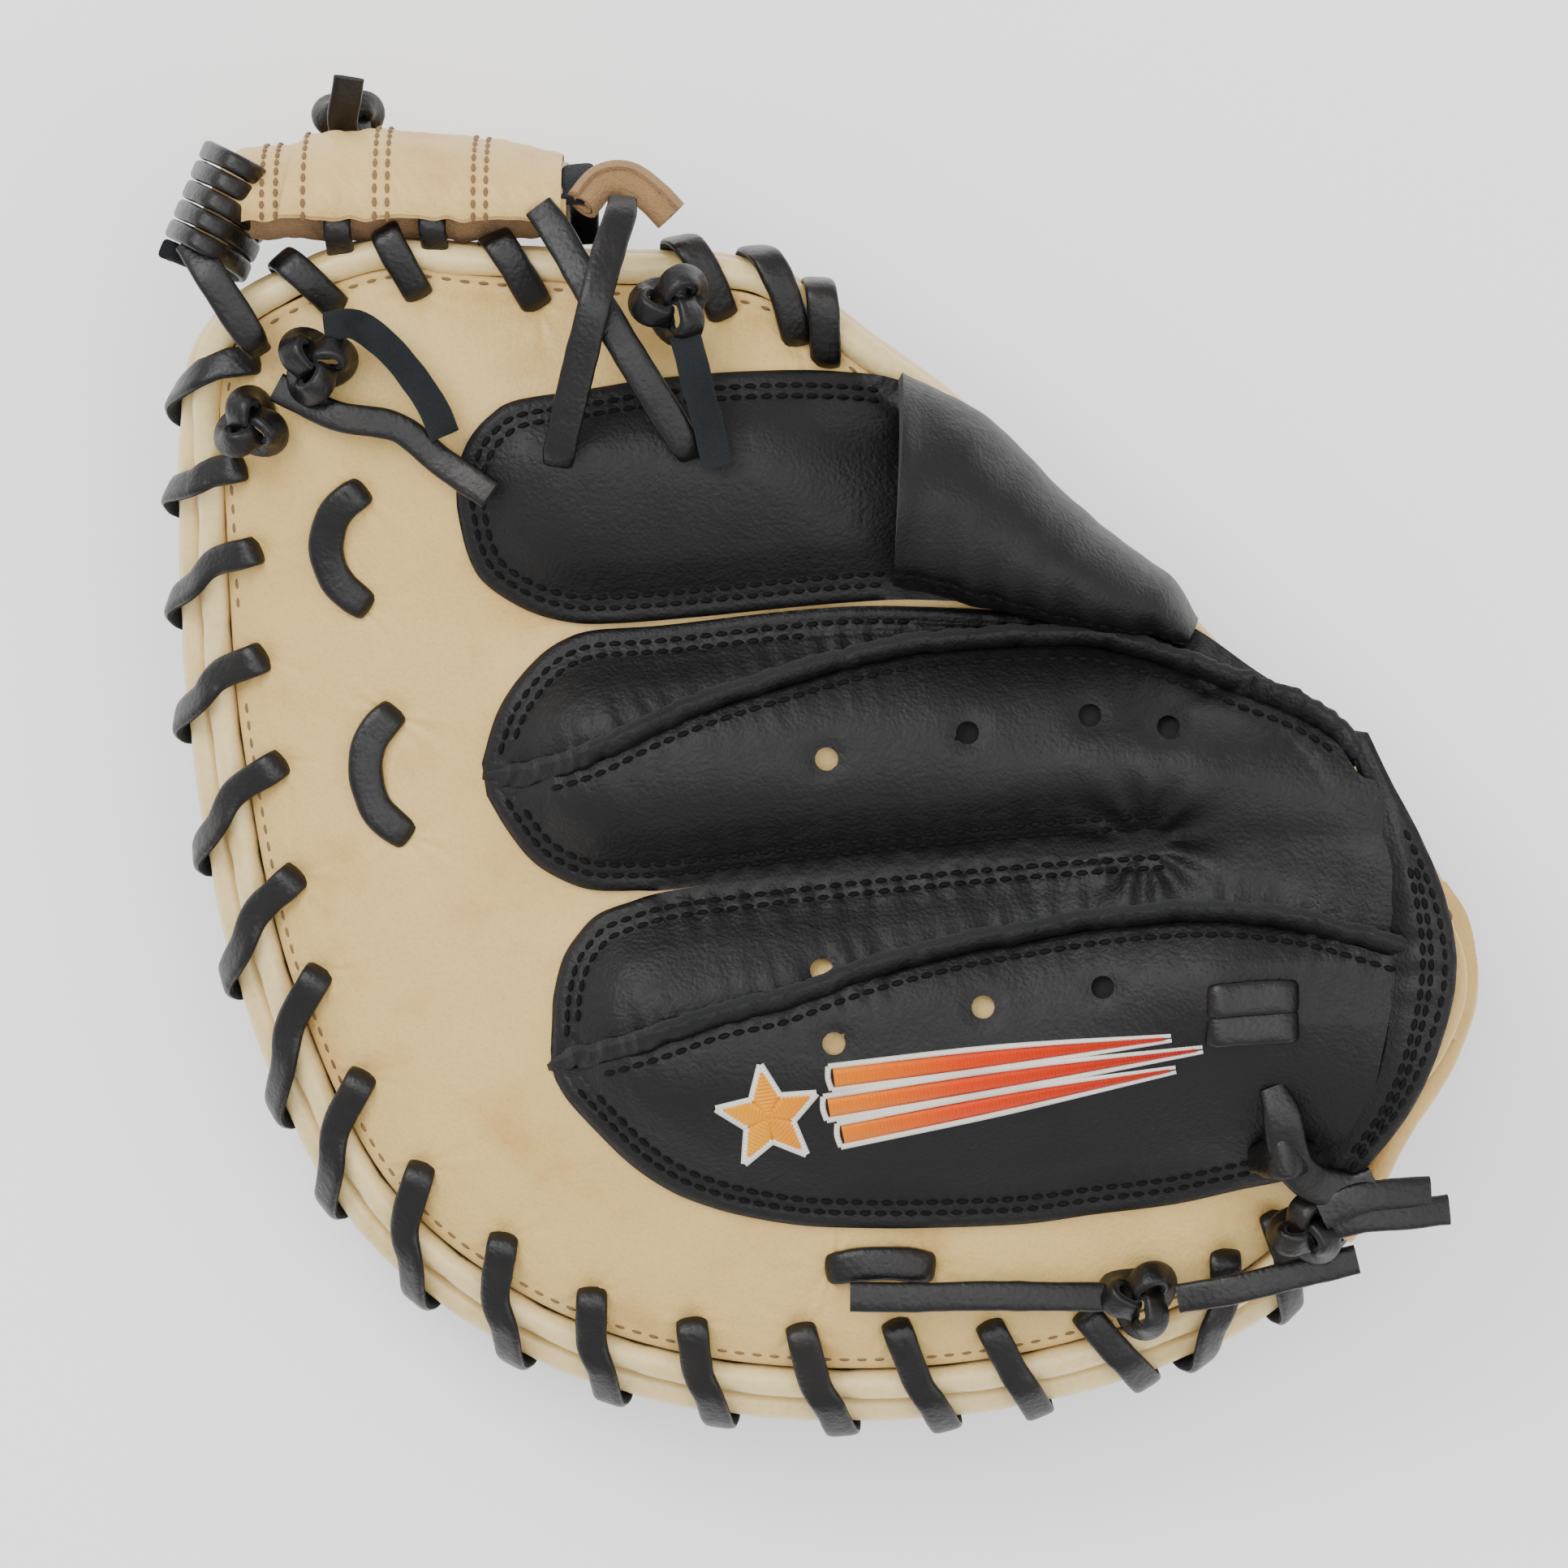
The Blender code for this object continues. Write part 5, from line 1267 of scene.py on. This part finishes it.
def make_wrist():
    inner = [(106, 12.5), (110, 5), (113.5, -8), (115, -22), (115.5, -36), (113.5, -52), (109, -66),
             (100, -80)]
    outer = [(112.6, 11.5), (117, 2), (123, -9.5), (128.0, -22), (130.4, -36), (128.0, -50), (121.5, -66),
             (110, -82)]
    grid = ruled(inner, outer, 0.9)
    outline = border(grid)
    x, y = grid[..., 0], grid[..., 1]
    s = np.linspace(0, 1, grid.shape[0])[:, None]
    t = np.linspace(0, 1, grid.shape[1])[None, :]
    d, _ = nearest(x, y, outline)

    tucked = spline(inner, 200)

    def face(px, py):
        dist, _ = nearest(px, py, outline)
        under, _ = nearest(px, py, tucked)
        lie = over_panels(px, py) + 0.4 + 2.0 * smoothstep(0, 6, under)
        return lie - 0.9 * np.exp(-(dist / 0.7) ** 2) + 0.3 * field(px, py, 301, 18)

    z = face(x, y) + 0.9 * smoothstep(0, 9, d)
    z -= 0.9 * np.exp(-((t - 0.62) / 0.025) ** 2) * smoothstep(0.30, 0.55, s)
    z += 0.35 * np.sin(s * 90 + 2 * t) * np.exp(-((s - 0.5) / 0.09) ** 2)
    top = np.stack([x, y, z], axis=-1)
    points, faces, second = plate(top, np.stack([x, y, z - 3.2], axis=-1))
    piece("wrist_band_leather", points, faces, [BLACK, CUT_EDGE], FINGER,
          ("wrist_band",), second)
    pile = Pile()
    rows = slice(int(0.30 * len(grid)), int(0.93 * len(grid)))
    for share in (0.56, 0.68):
        column = int(share * (grid.shape[1] - 1))
        run = grid[rows, column]
        rail = top[rows, column]

        def height(px, py, rail=rail):
            return np.interp(-py, -rail[:, 1], rail[:, 2]) + 0.2
        stitches(pile, run, height, pitch=PANEL_STITCH_PITCH)
    for run in inside_line(outline, 2.4):
        for part in np.split(run, np.where(nearest(run[:, 0], run[:, 1], tucked)[0] < 6.0)[0]):
            if len(part) > 8:
                stitches(pile, part[1:], lambda px, py: face(px, py) + 0.35, pitch=PANEL_STITCH_PITCH)
    pile.make("wrist_band_stitches", BLACK_THREAD, FINGER)
    make_heel_tab()
    make_wrist_lace()


def make_heel_tab():
    """The folded end of the heel leather, with its brown cut edge."""
    inner = [(117, -17), (120, -24), (121.5, -34), (121, -44), (118.5, -53)]
    outer = [(131, -19.5), (135.6, -27), (137.4, -37), (136.6, -44), (133.6, -52.5)]
    grid = ruled(inner, outer, 0.8)
    x, y = grid[..., 0], grid[..., 1]
    t = np.linspace(0, 1, grid.shape[1])[None, :]
    z = 41.6 + 1.6 * np.sin(math.pi * t) + 0.25 * field(x, y, 305, 14) + 0 * x
    points, faces, second = plate(np.stack([x, y, z], axis=-1), np.stack([x, y, z - 2.6], axis=-1))
    piece("heel_tab_leather", points, faces, [TAN, SUEDE], FINGER, ("heel_tab",), second)
    pile = Pile()
    for share in (0.55, 0.78):
        run = grid[4:-4, int(share * (grid.shape[1] - 1))]
        stitches(pile, run, lambda px, py: np.full(np.shape(px), 43.0), size=(2.3, 0.45, 0.3), pitch=3.4)
    pile.make("heel_tab_stitches", TAN_THREAD, FINGER)


def make_wrist_lace():
    pile = Pile()
    for k, start in enumerate((-49.6, -43.6)):
        line = [(80.6, start, 0), (85, start + 0.4, 0), (91, start + 0.8, 0), (96.6, start + 1.0, 0)]
        path = [(px, py, float(over_panels(px, py)) + 2.0) for px, py, _ in line]
        first, last = path[0], path[-1]
        path = [(first[0] - 0.5, first[1], first[2] - 4)] + path + [(last[0] + 0.5, last[1], last[2] - 4)]
        across = np.tile([0.0, 1.0, 0.0], (len(path), 1))
        ribbon(pile, path, across, width=7.2, thick=2.4, seed=270 + k, neck=(0.1, 0.1))
    pile.make("wrist_lace_tab_turns", [LACE, LACE_BACK], FINGER, ("wrist_lace_tab",))
    pile = Pile()
    bow = [(93.0, -61.5), (95.0, -67.0), (96.0, -73), (98, -78), (103.0, -81.8), (109.5, -82.8),
           (114.5, -80.5)]
    rises = (0.5, 4.5, 7.0, 7.6, 7.0, 5.0, 1.5)
    path = [(px, py, float(over_panels(px, py)) + h) for (px, py), h in zip(bow, rises)]
    ribbon(pile, path, width=8.2, thick=3.0, seed=275, neck=(0.3, 0.35))
    diamond = [(89.5, -76.5), (95.3, -76.1), (101.5, -75.6)]
    path = [(px, py, float(over_panels(px, py)) + h) for (px, py), h in zip(diamond, (2.0, 10.6, 2.0))]
    ribbon(pile, path, width=8.6, thick=2.6, seed=277, neck=(0.35, 0.35))
    pile.make("wrist_lace_loop_turns", [LACE, LACE_BACK], FINGER, ("wrist_lace_loop",))


# ---------------------------------------------------------------- embroidery

EMBROIDERY_TILT = math.radians(9)


def on_embroidery(u, v):
    """Plan point of the motif: u along it from its left end, v across it."""
    c, s = math.cos(EMBROIDERY_TILT), math.sin(EMBROIDERY_TILT)
    return -19.0 + u * c - v * s, -74.0 + u * s + v * c


def satin(pile, spine, half_width, rise=1.3, pitch=0.75):
    """A band of thread laid side by side across a spine, ribbed along its length."""
    length = np.linalg.norm(np.diff(np.array(spine), axis=0), axis=1).sum()
    line = spline(spine, max(6, int(length / (pitch / 4))))
    n = len(line)
    share = np.linspace(0, 1, n)
    half = np.interp(share, np.linspace(0, 1, len(half_width)), half_width)
    t = np.gradient(line, axis=0)
    t /= np.linalg.norm(t, axis=1)[:, None]
    side = np.stack([-t[:, 1], t[:, 0]], axis=1)
    m = 11
    v = np.linspace(-1, 1, m)
    uv = line[:, None, :] + side[:, None, :] * (half[:, None] * v[None, :])[..., None]
    x, y = on_embroidery(uv[..., 0], uv[..., 1])
    ribs = 0.16 * np.cos(np.arange(n)[:, None] * math.pi / 2) * (1 - v[None, :] ** 4)
    base = over_panels(x, y) + panel_relief(x, y) + 1.3
    z = base + rise * (1 - np.abs(v[None, :]) ** 3) * 0.55 + ribs
    top = np.stack([x, y, z], axis=-1)
    points, faces, _ = plate(top, np.stack([x, y, base - 0.9], axis=-1))
    pile.add(points, faces)


def star_points(centre, radius, inner):
    turn = np.radians(90 + 36 * np.arange(10))
    r = np.where(np.arange(10) % 2 == 0, radius, inner)
    return np.stack([centre[0] + r * np.cos(turn), centre[1] + r * np.sin(turn)], axis=1)


def make_embroidery():
    """A five-pointed star with three tapering stripes in satin stitch, each edged in white."""
    colour = Pile()
    white = Pile()
    centre = np.array([9.5, 5.0])
    tips = star_points(centre, 9.2, 3.9)
    for k in range(0, 10, 2):
        tip = tips[k]
        satin(colour, [centre, (centre + tip) / 2, tip], [0.6, 3.3, 0.4], rise=1.8)
    edge = star_points(centre, 11.0, 5.0)
    for k in range(10):
        satin(white, [edge[k], (edge[k] + edge[(k + 1) % 10]) / 2, edge[(k + 1) % 10]],
              [0.75, 0.75, 0.75], rise=1.2)
    stripes = ((6.0, 24, 92, 1.9), (0.0, 22, 98, 1.9), (-6.0, 24, 92, 1.9))
    for offset, start, end, thick in stripes:
        v0 = centre[1] + offset
        v1 = centre[1] + offset * 0.55
        middle = [(start, v0), ((start + end) / 2, (v0 + v1) / 2 + 0.2), (end, v1)]
        satin(colour, middle, [thick, thick * 0.8, 0.35], rise=1.8)
        upper = [(start - 0.8, v0 + thick + 0.6), ((start + end) / 2, (v0 + v1) / 2 + thick * 0.8 + 0.8),
                 (end + 1.5, v1 + 0.5)]
        lower = [(start - 0.8, v0 - thick - 0.6), ((start + end) / 2, (v0 + v1) / 2 - thick * 0.8 - 0.4),
                 (end + 1.5, v1 - 0.5)]
        satin(white, upper, [0.6, 0.6, 0.4], rise=1.0)
        satin(white, lower, [0.6, 0.6, 0.4], rise=1.0)
        satin(white, [(start - 0.8, v0 + thick + 0.6), (start - 1.2, v0), (start - 0.8, v0 - thick - 0.6)],
              [0.6, 0.6, 0.6], rise=1.0)
    colour.make("embroidered_star_and_stripes", GRADED_THREAD, FINGER, ("embroidery",))
    white.make("embroidered_border", WHITE_THREAD, FINGER)


# ---------------------------------------------------------------- setting

FLOOR_SIZE = 6.0
FLOOR_TONE = (0.9, 0.9, 0.9, 1)
FLOOR_GLOW = 0.55
SKY_STRENGTH = 0.85
LIGHT_AIM = (0, 0, 0.05)
LIGHTS = (
    ("key", (-0.9, 0.9, 1.5), 1.0, 22.0),
    ("fill", (1.1, -0.5, 1.5), 1.4, 9.0),
    ("top", (0, 0.1, 2.0), 1.2, 12.0),
)
CAMERA_AT = (-0.0066, -0.0040, 2.26)
CAMERA_LENS = 244.0
CAMERA_SENSOR = 36.0


def make_setting():
    """A pale, faintly glowing floor, three soft lights and the camera straight above."""
    bpy.ops.mesh.primitive_plane_add(size=FLOOR_SIZE, location=(0, 0, -0.0006))
    floor = bpy.context.object
    floor.name = "studio_floor"
    paper = bpy.data.materials.new("pale_paper")
    paper.use_nodes = True
    shader = paper.node_tree.nodes["Principled BSDF"]
    shader.inputs["Base Color"].default_value = FLOOR_TONE
    shader.inputs["Roughness"].default_value = 0.85
    shader.inputs["Emission Color"].default_value = (1, 1, 1, 1)
    shader.inputs["Emission Strength"].default_value = FLOOR_GLOW
    floor.data.materials.append(paper)
    world = bpy.data.worlds.new("studio_world")
    bpy.context.scene.world = world
    world.use_nodes = True
    world.node_tree.nodes["Background"].inputs["Color"].default_value = (1, 1, 1, 1)
    world.node_tree.nodes["Background"].inputs["Strength"].default_value = SKY_STRENGTH
    for name, at, size, power in LIGHTS:
        lamp = bpy.data.lights.new(name + "_light", "AREA")
        lamp.size = size
        lamp.energy = power
        light = bpy.data.objects.new(name + "_light", lamp)
        light.location = at
        light.rotation_mode = "QUATERNION"
        light.rotation_quaternion = (Vector(LIGHT_AIM) - Vector(at)).to_track_quat("-Z", "Y")
        bpy.context.scene.collection.objects.link(light)
    camera = bpy.data.objects.new("camera", bpy.data.cameras.new("camera"))
    camera.location = CAMERA_AT
    camera.data.lens = CAMERA_LENS
    camera.data.sensor_width = CAMERA_SENSOR
    bpy.context.scene.collection.objects.link(camera)
    bpy.context.scene.camera = camera


def main():
    make_setting()
    make_palm()
    make_back()
    for name in PANEL_EDGES:
        make_panel(name)
    make_vent_painted_shade()
    make_seam_welt("seam_welt_index", [(-69.0, 2.7)] + SEAM_INDEX)
    make_seam_welt("seam_welt_ring", [(-55.6, -57.4)] + SEAM_RING[1:])
    make_hood()
    make_welts()
    make_laces()
    make_tails()
    make_web()
    make_wrist()
    make_embroidery()
    stiffener = bpy.data.objects.get("thumb_stiffener")
    for place in stiffener.material_slots:
        place.material = PLASTIC


main()
